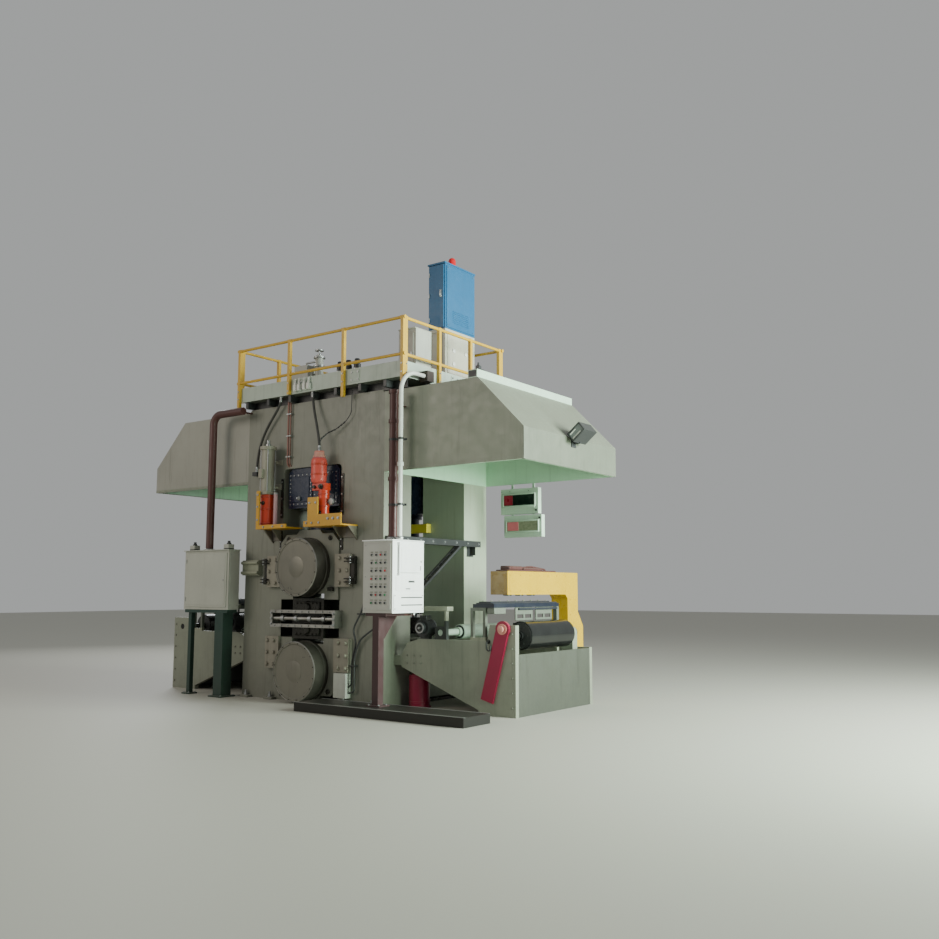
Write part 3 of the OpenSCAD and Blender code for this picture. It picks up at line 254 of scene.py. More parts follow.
@dataclass(frozen=True)
class TreadPlate(Finish):
    """Rolled tread plate: raised lozenges, worn bright on top, dirty between."""

    worn: str = "#77746c"
    metallic: float = 0.55

    def build(self) -> bpy.types.Material:
        """Makes the plate with its crossed lozenges."""
        material, tree, shader = self.start()
        place = add_node(tree, "ShaderNodeTexCoord", {}, {}).outputs["Object"]
        heights = []
        for turn in (math.radians(45), math.radians(-45)):
            # Real lozenges are 30 mm long: these are 58 mm by 22 mm, 100 mm apart, to show
            cell = add_node(tree, "ShaderNodeMapping", {}, {"Vector": place,
                "Rotation": (0.0, 0.0, turn), "Scale": (10.0, 26.0, 1.0)})
            dots = add_node(tree, "ShaderNodeTexVoronoi", {"feature": "F1"},
                {"Vector": cell.outputs[0], "Scale": 1.0, "Randomness": 0.0})
            heights.append(add_node(tree, "ShaderNodeMapRange", {}, {
                "Value": dots.outputs["Distance"], "From Min": 0.34, "From Max": 0.24,
                "To Min": 0.0, "To Max": 1.0}).outputs[0])
        both = add_node(tree, "ShaderNodeMath", {"operation": "MAXIMUM"},
            {0: heights[0], 1: heights[1]})
        # Only on faces that look up: the folded edges of the plate are plain
        facing = add_node(tree, "ShaderNodeSeparateXYZ", {},
            {0: add_node(tree, "ShaderNodeNewGeometry", {}, {}).outputs["True Normal"]})
        level = add_node(tree, "ShaderNodeMath", {"operation": "GREATER_THAN"},
            {0: facing.outputs["Z"], 1: 0.7})
        both = add_node(tree, "ShaderNodeMath", {"operation": "MULTIPLY"},
            {0: both.outputs[0], 1: level.outputs[0]})
        wear = add_node(tree, "ShaderNodeTexNoise", {}, {"Vector": place, "Scale": 3.0,
            "Detail": 5.0})
        bright = add_node(tree, "ShaderNodeMath", {"operation": "MULTIPLY"},
            {0: both.outputs[0], 1: wear.outputs["Fac"]})
        tone = add_node(tree, "ShaderNodeMix", COLOURS,
            {0: bright.outputs[0], 6: linear_rgba(self.colour), 7: linear_rgba(self.worn)})
        tree.links.new(tone.outputs[2], shader.inputs["Base Color"])
        shader.inputs["Metallic"].default_value = self.metallic
        bump = add_node(tree, "ShaderNodeBump", {}, {"Strength": 0.5, "Distance": 0.003,
            "Height": both.outputs[0]})
        tree.links.new(bump.outputs[0], shader.inputs["Normal"])
        return material


@dataclass(frozen=True)
class Rubber(Finish):
    """Moulded or lagged rubber: dark, dull, with a fine grain and a dusty bloom."""

    bloom: str = "#4a4945"

    def build(self) -> bpy.types.Material:
        """Makes the rubber."""
        material, tree, shader = self.start()
        place = add_node(tree, "ShaderNodeTexCoord", {}, {}).outputs["Object"]
        grain = add_node(tree, "ShaderNodeTexNoise", {}, {"Vector": place, "Scale": 60.0,
            "Detail": 5.0})
        patch = add_node(tree, "ShaderNodeTexNoise", {}, {"Vector": place, "Scale": 6.0,
            "Detail": 4.0})
        tone = add_node(tree, "ShaderNodeMix", COLOURS,
            {0: patch.outputs["Fac"], 6: linear_rgba(self.colour), 7: linear_rgba(self.bloom)})
        tree.links.new(tone.outputs[2], shader.inputs["Base Color"])
        bump = add_node(tree, "ShaderNodeBump", {}, {"Strength": 0.15, "Distance": 0.002,
            "Height": grain.outputs["Fac"]})
        tree.links.new(bump.outputs[0], shader.inputs["Normal"])
        return material


@dataclass(frozen=True)
class Plastic(Finish):
    """Glossy moulded plastic or tinted glass, with the light smears of hands."""

    glow: float = 0.0

    def build(self) -> bpy.types.Material:
        """Makes the plastic, lit from inside where it glows."""
        material, tree, shader = self.start()
        place = add_node(tree, "ShaderNodeTexCoord", {}, {}).outputs["Object"]
        smear = add_node(tree, "ShaderNodeTexNoise", {}, {"Vector": place, "Scale": 22.0,
            "Detail": 4.0})
        rough = add_node(tree, "ShaderNodeMapRange", {}, {"Value": smear.outputs["Fac"],
            "From Min": 0.35, "From Max": 0.7, "To Min": self.roughness,
            "To Max": self.roughness + 0.16})
        tree.links.new(rough.outputs[0], shader.inputs["Roughness"])
        base = linear_rgba(self.colour)
        deep = tuple(c * 0.78 for c in base[:3]) + (1.0,)
        tone = add_node(tree, "ShaderNodeMix", COLOURS,
            {0: smear.outputs["Fac"], 6: deep, 7: base})
        tree.links.new(tone.outputs[2], shader.inputs["Base Color"])
        shader.inputs["Emission Color"].default_value = base
        shader.inputs["Emission Strength"].default_value = self.glow
        return material


@dataclass(frozen=True)
class Zone:
    """A box of the stand where a paint has another colour."""

    low: Point
    high: Point
    colour: str

    def mirrored(self, axis: int) -> "Zone":
        """The same zone on the other side.

        Args:
            axis: 0 to mirror X, 1 to mirror Y.

        Returns:
            The mirrored zone.
        """
        low, high = list(self.low), list(self.high)
        low[axis], high[axis] = -self.high[axis], -self.low[axis]
        return Zone(tuple(low), tuple(high), self.colour)


def both_sides(zones: Sequence[Zone], axis: int = 0) -> tuple[Zone, ...]:
    """Zones of one side, and after them those of the other.

    Args:
        zones: the zones of one side.
        axis: 0 where the sides mirror in X, 1 in Y.

    Returns:
        The zones of both sides.
    """
    return (*zones, *(zone.mirrored(axis) for zone in zones))


@dataclass(frozen=True)
class ZonedEnamel(Enamel):
    """Enamel on a group of parts, each box of space in its own colour: parts painted apart, and
    painted shade and light.
    """

    zones: tuple[Zone, ...] = ()

    def build(self) -> bpy.types.Material:
        """Makes the enamel, then tints it inside each zone."""
        material = super().build()
        tree = material.node_tree
        shader = tree.nodes["Principled BSDF"]
        place = add_node(tree, "ShaderNodeTexCoord", {}, {}).outputs["Object"]
        now = shader.inputs["Base Color"].links[0].from_socket
        base = linear_rgba(self.colour)
        for zone in self.zones:
            low, high = Vector(zone.low), Vector(zone.high)
            off = add_node(tree, "ShaderNodeVectorMath", {"operation": "SUBTRACT"},
                {0: place, 1: (low + high) / 2})
            size = add_node(tree, "ShaderNodeVectorMath", {"operation": "ABSOLUTE"},
                {0: off.outputs[0]})
            share = add_node(tree, "ShaderNodeVectorMath", {"operation": "DIVIDE"},
                {0: size.outputs[0], 1: (high - low) / 2})
            parts = add_node(tree, "ShaderNodeSeparateXYZ", {}, {0: share.outputs[0]})
            far = add_node(tree, "ShaderNodeMath", {"operation": "MAXIMUM"},
                {0: parts.outputs[0], 1: parts.outputs[1]})
            far = add_node(tree, "ShaderNodeMath", {"operation": "MAXIMUM"},
                {0: far.outputs[0], 1: parts.outputs[2]})
            inside = add_node(tree, "ShaderNodeMath", {"operation": "LESS_THAN"},
                {0: far.outputs[0], 1: 1.0})
            # The clouding, soil and painted shade of the base coat carry over as a ratio of
            # brightness
            other = linear_rgba(zone.colour)
            ratio = tuple(o / max(b, 0.004) for o, b in zip(other[:3], base[:3]))
            scaled = add_node(tree, "ShaderNodeVectorMath", {"operation": "MULTIPLY"},
                {0: now, 1: ratio})
            mixed = add_node(tree, "ShaderNodeMix", COLOURS,
                {0: inside.outputs[0], 6: now, 7: scaled.outputs[0]})
            now = mixed.outputs[2]
        tree.links.new(now, shader.inputs["Base Color"])
        return material


class Surface(Enum):
    """The finishes of the stand, one for each paint or metal."""

    # Grey green machine enamel: broad soft sheen, near black in the window between the backup
    # chocks as painted shade
    MILL = ZonedEnamel("grey_green_machine_enamel", "#7a7c70", 0.42, 0.32, 0.5, zones=(
        Zone((-0.603, -1.2485, 0.93), (0.603, -0.7, 1.47), "#161714"),))
    # The same enamel painted paler on the drive side and tie beams: painted light, as if lit from
    # the exit
    DRIVE_PAINTED_LIGHT = Enamel("machine_enamel_painted_lit", "#9da792", 0.40, 0.2, 0.3)
    # The tables, their end walls darker as painted shade
    TABLE = ZonedEnamel("table_enamel", "#868b7b", 0.42, 0.3, 0.45, zones=both_sides((
        Zone((3.4197, -0.93, -0.01), (3.46, 0.93, 0.80), "#484b42"),)))
    # Hood sheets: olive outside, bright green inside as painted light; the exit end wall and the
    # slope darker as painted shade
    HOOD = ZonedEnamel("grey_green_sheet_enamel", "#838878", 0.40, 0.2, 0.2, zones=(
        Zone((1.42, -1.2385, 3.2), (3.7485, 1.2385, 3.69), HOOD_INSIDE_PAINTED_LIGHT),
        Zone((3.7486, -1.26, 3.2), (3.78, 1.26, 3.69), "#666a5e"),
        Zone((3.035, -1.2385, 3.691), (3.77, 1.2385, 4.43), "#757a6b")))
    # The entry hood, bright green inside as painted light
    ENTRY_HOOD = ZonedEnamel("grey_sheet_enamel", "#95958b", 0.42, 0.25, 0.2, zones=(
        Zone((-3.7485, -1.2385, 3.2), (-1.42, 1.2385, 3.7), HOOD_INSIDE_PAINTED_LIGHT),))
    PALE_GREEN = Enamel("pale_green_enamel", "#b4c9b6", 0.38, 0.12, 0.1)
    DARK_GREEN = Enamel("dark_green_enamel", "#1d3a31", 0.35, 0.2, 0.4)
    # Instrument enamel on sheet steel boxes: smooth and clean, the front face with the buttons
    # greyer as painted shade
    CONTROL = ZonedEnamel("control_box_enamel", "#f0f1ee", 0.33, 0.08, 0.12, knocks=0.1, zones=(
        Zone((1.6, -1.93, 1.3), (2.14, -1.898, 2.25), "#b1b1a8"),))
    WHITE_BOX = Enamel("white_box_enamel", "#d6d6cf", 0.33, 0.1, 0.12, knocks=0.12)
    GREY_BOX = Enamel("light_grey_box_enamel", "#a3a298", 0.36, 0.12, 0.15, knocks=0.15)
    TERMINAL = Enamel("greenish_box_enamel", "#adafa4", 0.38, 0.15, 0.2, knocks=0.15)
    BEIGE = Enamel("beige_frame_enamel", "#b9b6a6", 0.45, 0.22, 0.2)
    # Warning yellow, chipped where it is stepped on and gripped. The gussets under the shelves are
    # painted a dark green grey as painted shade under the shelves
    YELLOW = ZonedEnamel("safety_yellow_enamel", "#c8951c", 0.33, 0.18, 0.25, knocks=0.35, zones=(
        Zone((-1.2, -1.7, 2.0), (1.2, -1.2, 2.5195), "#6f6a52"),))
    RAIL_YELLOW = Enamel("handrail_yellow_enamel", "#c99f2c", 0.38, 0.15, 0.2, knocks=0.3)
    BRACKET = Enamel("yellow_bracket_enamel", "#c2b02f", 0.36, 0.15, 0.2)
    # The gauge's paint is glossy and clean, its nose darker as painted shade
    GAUGE = ZonedEnamel("pale_yellow_gauge_enamel", "#c0990f", 0.24, 0.06, 0.1, knocks=0.12, zones=(
        Zone((2.7, -0.52, 1.5), (2.995, -0.4985, 1.9), "#8e6a0a"),))
    # Oiled navy on the press cylinders, deep and glossy with no dust
    NAVY = Enamel("navy_enamel", "#15243d", 0.26, 0.2, 0.2, dust=0.0)
    RED = Enamel("crimson_enamel", "#8c0536", 0.34, 0.08, 0.2)
    # Accumulators: orange shells, a paler bottle and a faded one
    ORANGE = Enamel("orange_red_enamel", "#bd3a20", 0.30, 0.18, 0.15)
    ACCUMULATORS = ZonedEnamel("accumulator_enamel", "#cf3d1d", 0.30, 0.18, 0.15, zones=(
        Zone((0.19, -1.60, 3.10), (0.45, -1.28, 3.66), "#d8523f"),
        Zone((-0.64, -1.50, 2.50), (-0.52, -1.36, 3.10), "#b98f86")))
    CAP_PINK = Enamel("faded_cap_enamel", "#c98a7c", 0.45, 0.1, 0.1)
    # Balance cylinder and its heads
    BALANCE = Enamel("beige_cylinder_enamel", "#8f8c7d", 0.42, 0.2, 0.2)
    # Even powder coat of the roof cabinet, hardly chipped
    BLUE = Enamel("blue_powder_coat", "#225e88", 0.36, 0.08, 0.05, dust=0.1, knocks=0.08)
    # Red oxide on post and conduits, the post darker
    MAROON = ZonedEnamel("red_oxide_enamel", "#4e2a27", 0.42, 0.2, 0.25, zones=(
        Zone((1.5, -2.2, 0.1), (2.3, -1.5, 1.32), "#371b1c"),))
    PINK_PIPE = Enamel("faded_oxide_pipe_paint", "#8f6258", 0.5, 0.2, 0.1)
    # Small steel parts: dark and wiped with oil, soaked in it, or plated and bright
    DARK = Enamel("oiled_dark_paint", DARK_PAINT, 0.38, 0.25, 0.3, knocks=0.15, dust=0.12)
    OILY = Enamel("oil_soaked_steel", "#35342f", 0.26, 0.35, 0.4, metallic=0.55, dust=0.0)
    ZINC = Enamel("zinc_plated_steel", "#a4a6a6", 0.34, 0.15, 0.15, metallic=0.85, knocks=0.1)
    # Turned and ground faces: bright, with oil between
    ROLL = GroundSteel("ground_roll_steel", "#b9bbbb", 0.22)
    BAR = GroundSteel("ground_frame_steel", "#a9a8a2", 0.36, Axis.RIGHT, 0.5)
    BRIGHT = GroundSteel("hard_chrome_rod", "#d4d6d8", 0.12, Axis.UP, 0.12)
    # Turned bearing covers: worn grey faces, their sides dark as painted shade
    CAPS = ZonedEnamel("turned_cover_steel", "#4c4a42", 0.34, 0.3, 0.1, metallic=0.5, knocks=0.1,
        dust=0.0, zones=both_sides((Zone((-0.45, -1.57, -0.1), (0.45, -1.534, 2.5), "#767469"),),
        axis=1))
    # Walked on plate: black and oily on the step, painted and dry on the platform
    STEP = TreadPlate("tread_plate_floor", "#2c2b28", 0.42, "#6a675f")
    DECK = TreadPlate("painted_tread_plate", "#6d7068", 0.5, "#92948c", 0.2)
    # Rubber: polished by strip on the rolls, dull on the hoses
    LAGGING = Rubber("roll_lagging_rubber", "#101111", 0.2, bloom="#232423")
    HOSE = Rubber("hose_rubber", "#141414", 0.55)
    # Displays, buttons and glass: smooth, with sharp reflections
    SCREEN = Plastic("black_display_glass", "#0b1f18", 0.10)
    # Pale glass of the lower readout: a painted reflection of glare on unlit glass
    SCREEN_PALE = Plastic("unlit_display_glass_painted_glare", "#8b8f76", 0.22)
    BAR_RED = Plastic("dark_red_display_bar", "#7d1428", 0.25, 0.15)
    BAR_PINK = Plastic("faded_red_display_bar", "#c66a70", 0.3, 0.1)
    BUTTON_BLACK = Plastic("black_button_plastic", "#15161a", 0.3)
    BUTTON_RED = Plastic("red_button_plastic", "#b51a1c", 0.25)
    BUTTON_GREEN = Plastic("green_button_plastic", "#1d7a44", 0.25)
    LABEL = Plastic("blank_label_plastic", "#8d8f83", 0.4)
    LAMP_GLASS = Plastic("floodlight_glass", "#84898a", 0.10)
    SIGHT = Plastic("gauge_window_glass", "#1b2226", 0.08)
    # Chock keepers, a dusty pinkish grey
    KEEPER = Enamel("dusty_primer_enamel", "#878375", 0.5, 0.3, 0.3)
    # The platform's channel, pale with streaks below its joints
    FASCIA = Enamel("pale_channel_enamel", "#a9b5a8", 0.42, 0.3, 0.1)
    # Valve gear on the roof: pale block and lines, dark coils
    ROOF_GEAR = ZonedEnamel("valve_gear_enamel", "#a9aba2", 0.38, 0.2, 0.15, zones=(
        Zone((-0.285, -1.0, 4.5), (0.8, -0.6, 5.4), DARK_PAINT),))
    # Guides over the tables, dull with oil
    GUIDE_NAVY = Enamel("navy_guide_enamel", "#0b1322", 0.5, 0.2, 0.1)
    GUIDE = Enamel("grey_guide_enamel", "#5f645a", 0.45, 0.3, 0.3)
    # Table fittings: navy cross guide, oiled guides below it, dark motor and clamps
    FITTINGS = ZonedEnamel("table_fittings_enamel", "#8b8f7c", 0.40, 0.3, 0.45, zones=both_sides((
        Zone((2.70, -1.1, 1.381), (3.2, 1.1, 1.5), "#0d1626"),
        Zone((2.5, -1.1, 1.0), (3.25, 1.1, 1.3805), "#5c6156"),
        Zone((1.80, -1.2, 0.94), (2.10, -0.8, 1.27), DARK_PAINT),
        Zone((2.12, -1.1, 0.94), (2.34, 1.1, 1.2), "#2f3531"))))
    # Small gear on the posts: a pale box low down, a dark clamp high up
    POST_GEAR = ZonedEnamel("post_fittings_enamel", "#8b8f7c", 0.42, 0.3, 0.45, zones=(
        Zone((0.5, -1.4, 0.05), (0.9, -1.2, 0.5), "#b9bcb2"),
        Zone((-1.3, -1.4, 3.3), (-1.0, -1.2, 3.5), DARK_PAINT)))
    WHITE_PIPE = ZonedEnamel("white_pipe_enamel", "#d9dad4", 0.42, 0.15, 0.1, zones=(
        Zone((1.83, -1.005, 4.54), (2.0, -0.84, 4.70), "#3a2f2a"),))
    # Clear red lens on a pale base
    BEACON_LAMP = ZonedEnamel("red_beacon_and_base", "#c3161c", 0.18, 0.0, 0.0, knocks=0.0, zones=(
        Zone((1.1, 0.3, 6.70), (1.5, 0.7, 6.7695), "#c3c6bd"),))


class Paintbox:
    """Keeps one Blender material for each surface."""

    def __init__(self) -> None:
        """Starts with no material made."""
        self._made: dict[Surface, bpy.types.Material] = {}

    def __getitem__(self, surface: Surface) -> bpy.types.Material:
        """Makes the surface's material the first time, and gives it after that."""
        if surface not in self._made:
            self._made[surface] = surface.value.build()
        return self._made[surface]

    def coat_node(self, node: str, surface: Surface) -> None:
        """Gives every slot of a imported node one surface.

        Args:
            node: the node's name.
            surface: its finish.
        """
        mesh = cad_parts[node].data
        mesh.materials.clear()
        mesh.materials.append(self[surface])


PAINT = Paintbox()


def aimed(at: Sequence[float], direction: Vector) -> Matrix:
    """A placement whose Z runs along a direction.

    Args:
        at: where the origin goes.
        direction: the new Z.

    Returns:
        The 4x4 matrix.
    """
    turn = Vector((0, 0, 1)).rotation_difference(Vector(direction)).to_matrix().to_4x4()
    return Matrix.Translation(Vector(at)) @ turn


def edges_of(points: Sequence[bmesh.types.BMVert]) -> list[bmesh.types.BMEdge]:
    """The edges that meet at some points, each once and in the same order every run.

    Args:
        points: the points.

    Returns:
        Their edges.
    """
    return list(dict.fromkeys(edge for point in points for edge in point.link_edges))


class Shape:
    """A mesh in the making, kept in one bmesh and placed in the stand's frame."""

    def __init__(self) -> None:
        """Starts an empty mesh."""
        self.bm = bmesh.new()

    def block(self, low: Point, high: Point, edge: float = 0.004) -> "Shape":
        """Adds a box between two corners with bevelled edges.

        Args:
            low: its lowest corner.
            high: its highest corner.
            edge: width of the bevel, or 0.

        Returns:
            This shape.
        """
        size = Vector(high) - Vector(low)
        middle = (Vector(high) + Vector(low)) / 2
        made = bmesh.ops.create_cube(self.bm, size=1.0,
            matrix=Matrix.Translation(middle) @ Matrix.Diagonal((*size, 1.0)))
        edge = min(edge, 0.3 * min(size))
        if edge > 0:
            bmesh.ops.bevel(self.bm, geom=edges_of(made["verts"]), offset=edge,
                offset_type="OFFSET", affect="EDGES", segments=1, profile=0.5, material=-1)
        return self

    def rod(self, start: Point, end: Point, radius: float, sides: int = 20,
            end_radius: Optional[float] = None) -> "Shape":
        """Adds a capped cylinder or cone between two points.

        Args:
            start: middle of its first end.
            end: middle of its other end.
            radius: radius at the start.
            sides: number of flat sides.
            end_radius: radius at the end, the same where None.

        Returns:
            This shape.
        """
        run = Vector(end) - Vector(start)
        middle = (Vector(start) + Vector(end)) / 2
        bmesh.ops.create_cone(self.bm, cap_ends=True, segments=sides, radius1=radius,
            radius2=radius if end_radius is None else end_radius, depth=run.length,
            matrix=aimed(middle, run))
        return self

    def lathe(self, profile: Sequence[Flat], at: Point, facing: Axis, sides: int = 32) -> "Shape":
        """Spins a profile of radius and height about a line.

        Args:
            profile: points of radius and height, from one end to the other.
            at: foot of the line.
            facing: the way the heights run.
            sides: steps of the full turn.

        Returns:
            This shape.
        """
        piece = bmesh.new()
        points = [piece.verts.new((r, 0.0, h)) for r, h in profile]
        edges = [piece.edges.new(pair) for pair in zip(points, points[1:])]
        bmesh.ops.spin(piece, geom=points + edges, cent=(0, 0, 0), axis=(0, 0, 1),
            angle=2 * math.pi, steps=sides, use_merge=True, use_duplicate=False)
        bmesh.ops.remove_doubles(piece, verts=piece.verts, dist=1e-5)
        bmesh.ops.dissolve_degenerate(piece, edges=piece.edges, dist=1e-6)
        bmesh.ops.recalc_face_normals(piece, faces=piece.faces)
        bmesh.ops.transform(piece, matrix=aimed(at, facing.vector), verts=piece.verts)
        return self.take(piece)

    def bolts(self, points: Iterable[Point], facing: Axis, across: float,
              washer: bool = True) -> "Shape":
        """Adds a hexagon head bolt at each point, on a washer.

        Args:
            points: where the bolts meet the face.
            facing: the way the heads point.
            across: width of a head across its flats.
            washer: whether each head has a washer.

        Returns:
            This shape.
        """
        way = facing.vector
        radius = across / math.sqrt(3)
        for point in points:
            foot = Vector(point)
            # Washer, head and chamfered crown, in parts of the width across flats
            if washer:
                self.rod(foot, foot + way * across * 0.12, radius * 1.25, 12)
            self.rod(foot + way * across * 0.1, foot + way * across * 0.55, radius, 6)
            self.rod(foot + way * across * 0.5, foot + way * across * 0.64, radius * 0.92, 6,
                radius * 0.7)
        return self

    def pipe(self, points: Sequence[Point], radius: float, bend: float = 0.08,
             sides: int = 12) -> "Shape":
        """Adds a round pipe through points, with its corners rounded.

        Args:
            points: its ends and corners.
            radius: radius of the pipe.
            bend: radius of the corners.
            sides: sides of the pipe.

        Returns:
            This shape.
        """
        path = [Vector(points[0])]
        for before, corner, after in zip(points, points[1:], points[2:]):
            middle = Vector(corner)
            a, b = Vector(before) - middle, Vector(after) - middle
            cut = min(bend, 0.45 * a.length, 0.45 * b.length)
            first, last = middle + a.normalized() * cut, middle + b.normalized() * cut
            for k in range(7):
                t = k / 6
                path.append(first * (1 - t) ** 2 + middle * 2 * t * (1 - t) + last * t ** 2)
        path.append(Vector(points[-1]))
        return self.sweep(path, radius, sides)

    def sweep(self, path: Sequence[Vector], radius: float, sides: int = 12) -> "Shape":
        """Carries a circle along a path, joined ring to ring and capped.

        Args:
            path: points close together.
            radius: radius of the circle.
            sides: sides of the tube.

        Returns:
            This shape.
        """
        piece = bmesh.new()
        rings: list[list[bmesh.types.BMEdge]] = []
        normal = None
        for i, point in enumerate(path):
            ahead = path[min(i + 1, len(path) - 1)] - path[max(i - 1, 0)]
            ahead.normalize()
            if normal is None:
                normal = ahead.orthogonal().normalized()
            normal = (normal - ahead * normal.dot(ahead)).normalized()
            frame_matrix = Matrix((normal, ahead.cross(normal), ahead)).transposed().to_4x4()
            ring = bmesh.ops.create_circle(piece, cap_ends=False, segments=sides, radius=radius,
                matrix=Matrix.Translation(point) @ frame_matrix)
            rings.append(edges_of(ring["verts"]))
        for one, two in zip(rings, rings[1:]):
            bmesh.ops.bridge_loops(piece, edges=one + two)
        for ring in (rings[0], rings[-1]):
            bmesh.ops.edgeloop_fill(piece, edges=ring)
        bmesh.ops.recalc_face_normals(piece, faces=piece.faces)
        return self.take(piece)

    def take(self, other: bmesh.types.BMesh) -> "Shape":
        """Adds another bmesh to this one and frees it.

        Args:
            other: the bmesh to add.

        Returns:
            This shape.
        """
        carrier = bpy.data.meshes.new("carrier")
        other.to_mesh(carrier)
        other.free()
        self.bm.from_mesh(carrier)
        bpy.data.meshes.remove(carrier)
        return self

    def mirrored(self, about_x: bool = True) -> "Shape":
        """Adds the mirror image of everything so far.

        Args:
            about_x: mirrors X where true, and Y where false.

        Returns:
            This shape.
        """
        copy = self.bm.copy()
        scale = Matrix.Diagonal((-1, 1, 1, 1)) if about_x else Matrix.Diagonal((1, -1, 1, 1))
        bmesh.ops.transform(copy, matrix=scale, verts=copy.verts)
        bmesh.ops.reverse_faces(copy, faces=copy.faces)
        return self.take(copy)

    def piece(self, name: str, surface: Surface, slot: str = DARK_STEEL,
              body: str = STAND) -> bpy.types.Object:
        """Ends the shape as an object that rides on a body.

        Args:
            name: the object's name.
            surface: its finish.
            slot: not used.
            body: the body that it rides on.

        Returns:
            The finished object.
        """
        mesh = bpy.data.meshes.new(name)
        self.bm.to_mesh(mesh)
        self.bm.free()
        mesh.polygons.foreach_set("use_smooth", [True] * len(mesh.polygons))
        mesh.set_sharp_from_angle(angle=SMOOTH_ANGLE)
        mesh.materials.append(PAINT[surface])
        made = bpy.data.objects.new(name, mesh)
        bpy.context.scene.collection.objects.link(made)
        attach(made, body)
        LOG.info("%s: %d faces", name, len(mesh.polygons))
        return made


def ring_points(centre: Point, radius: float, count: int, plane: Axis,
        turn: float = 0.0) -> list[Point]:
    """Points evenly round a circle.

    Args:
        centre: middle of the circle.
        radius: its radius.
        count: how many points.
        plane: the direction that the circle faces.
        turn: angle of the first point in radians.

    Returns:
        The points.
    """
    matrix = aimed(centre, plane.vector)
    return [tuple(matrix @ Vector((radius * math.cos(turn + 2 * math.pi * i / count),
        radius * math.sin(turn + 2 * math.pi * i / count), 0.0))) for i in range(count)]


def spread(low: float, high: float, count: int) -> list[float]:
    """Evenly spaced numbers from low to high.

    Args:
        low: the first number.
        high: the last number.
        count: how many.

    Returns:
        The numbers.
    """
    return [low + (high - low) * i / (count - 1) for i in range(count)]


def bezier(points: Sequence[Point], steps: int) -> list[Vector]:
    """Points along a cubic curve.

    Args:
        points: its four control points.
        steps: number of steps.

    Returns:
        The points, one more than the steps.
    """
    a, b, c, d = (Vector(p) for p in points)
    return [a * (1 - t) ** 3 + b * 3 * t * (1 - t) ** 2 + c * 3 * t * t * (1 - t) + d * t ** 3
        for t in (i / steps for i in range(steps + 1))]


def ring_profile(inner: float, outer: float, height: float, low: float = 0.0) -> list[Flat]:
    """Profile of a flat ring, or of a plain disc where the inner radius is 0.

    Args:
        inner: inner radius.
        outer: outer radius.
        height: its thickness.
        low: where it starts.

    Returns:
        Points of radius and height.
    """
    return [(inner, low), (outer, low), (outer, low + height), (inner, low + height)]


def band_profile(inner: float, outer: float, chamfer: float, height: float) -> list[Flat]:
    """Profile of a clamp band whose outer edges are chamfered.

    Args:
        inner: inner radius.
        outer: outer radius.
        chamfer: height of each chamfer.
        height: height of the band.

    Returns:
        Points of radius and height.
    """
    return [(inner, 0.0), (outer, chamfer), (outer, height - chamfer), (inner, height)]


def cap_profile(radius: float, wall: float, crown: float, height: float) -> list[Flat]:
    """Profile of a round cap with a chamfered rim.

    Args:
        radius: radius of the wall.
        wall: height of the wall.
        crown: radius of the flat top.
        height: height of the top.

    Returns:
        Points of radius and height.
    """
    return [(0.0, 0.0), (radius, 0.0), (radius, wall), (crown, height), (0.0, height)]


def port_profile(radius: float, wall: float, neck: float, shoulder: float,
        height: float) -> list[Flat]:
    """Profile of a round port or plug with a thinner neck.

    Args:
        radius: radius of the foot.
        wall: height of the foot's wall.
        neck: radius of the neck.
        shoulder: height where the neck starts.
        height: height where the neck ends.

    Returns:
        Points of radius and height.
    """
    return [(0.0, 0.0), (radius, 0.0), (radius, wall), (neck, shoulder), (neck, height),
        (0.0, height)]


@dataclass(frozen=True)
class Lamp:
    """A soft square lamp: where it hangs, the point that it faces, its side and its power."""

    name: str
    at: Point
    to: Point
    side: float
    watts: float
    tint: str


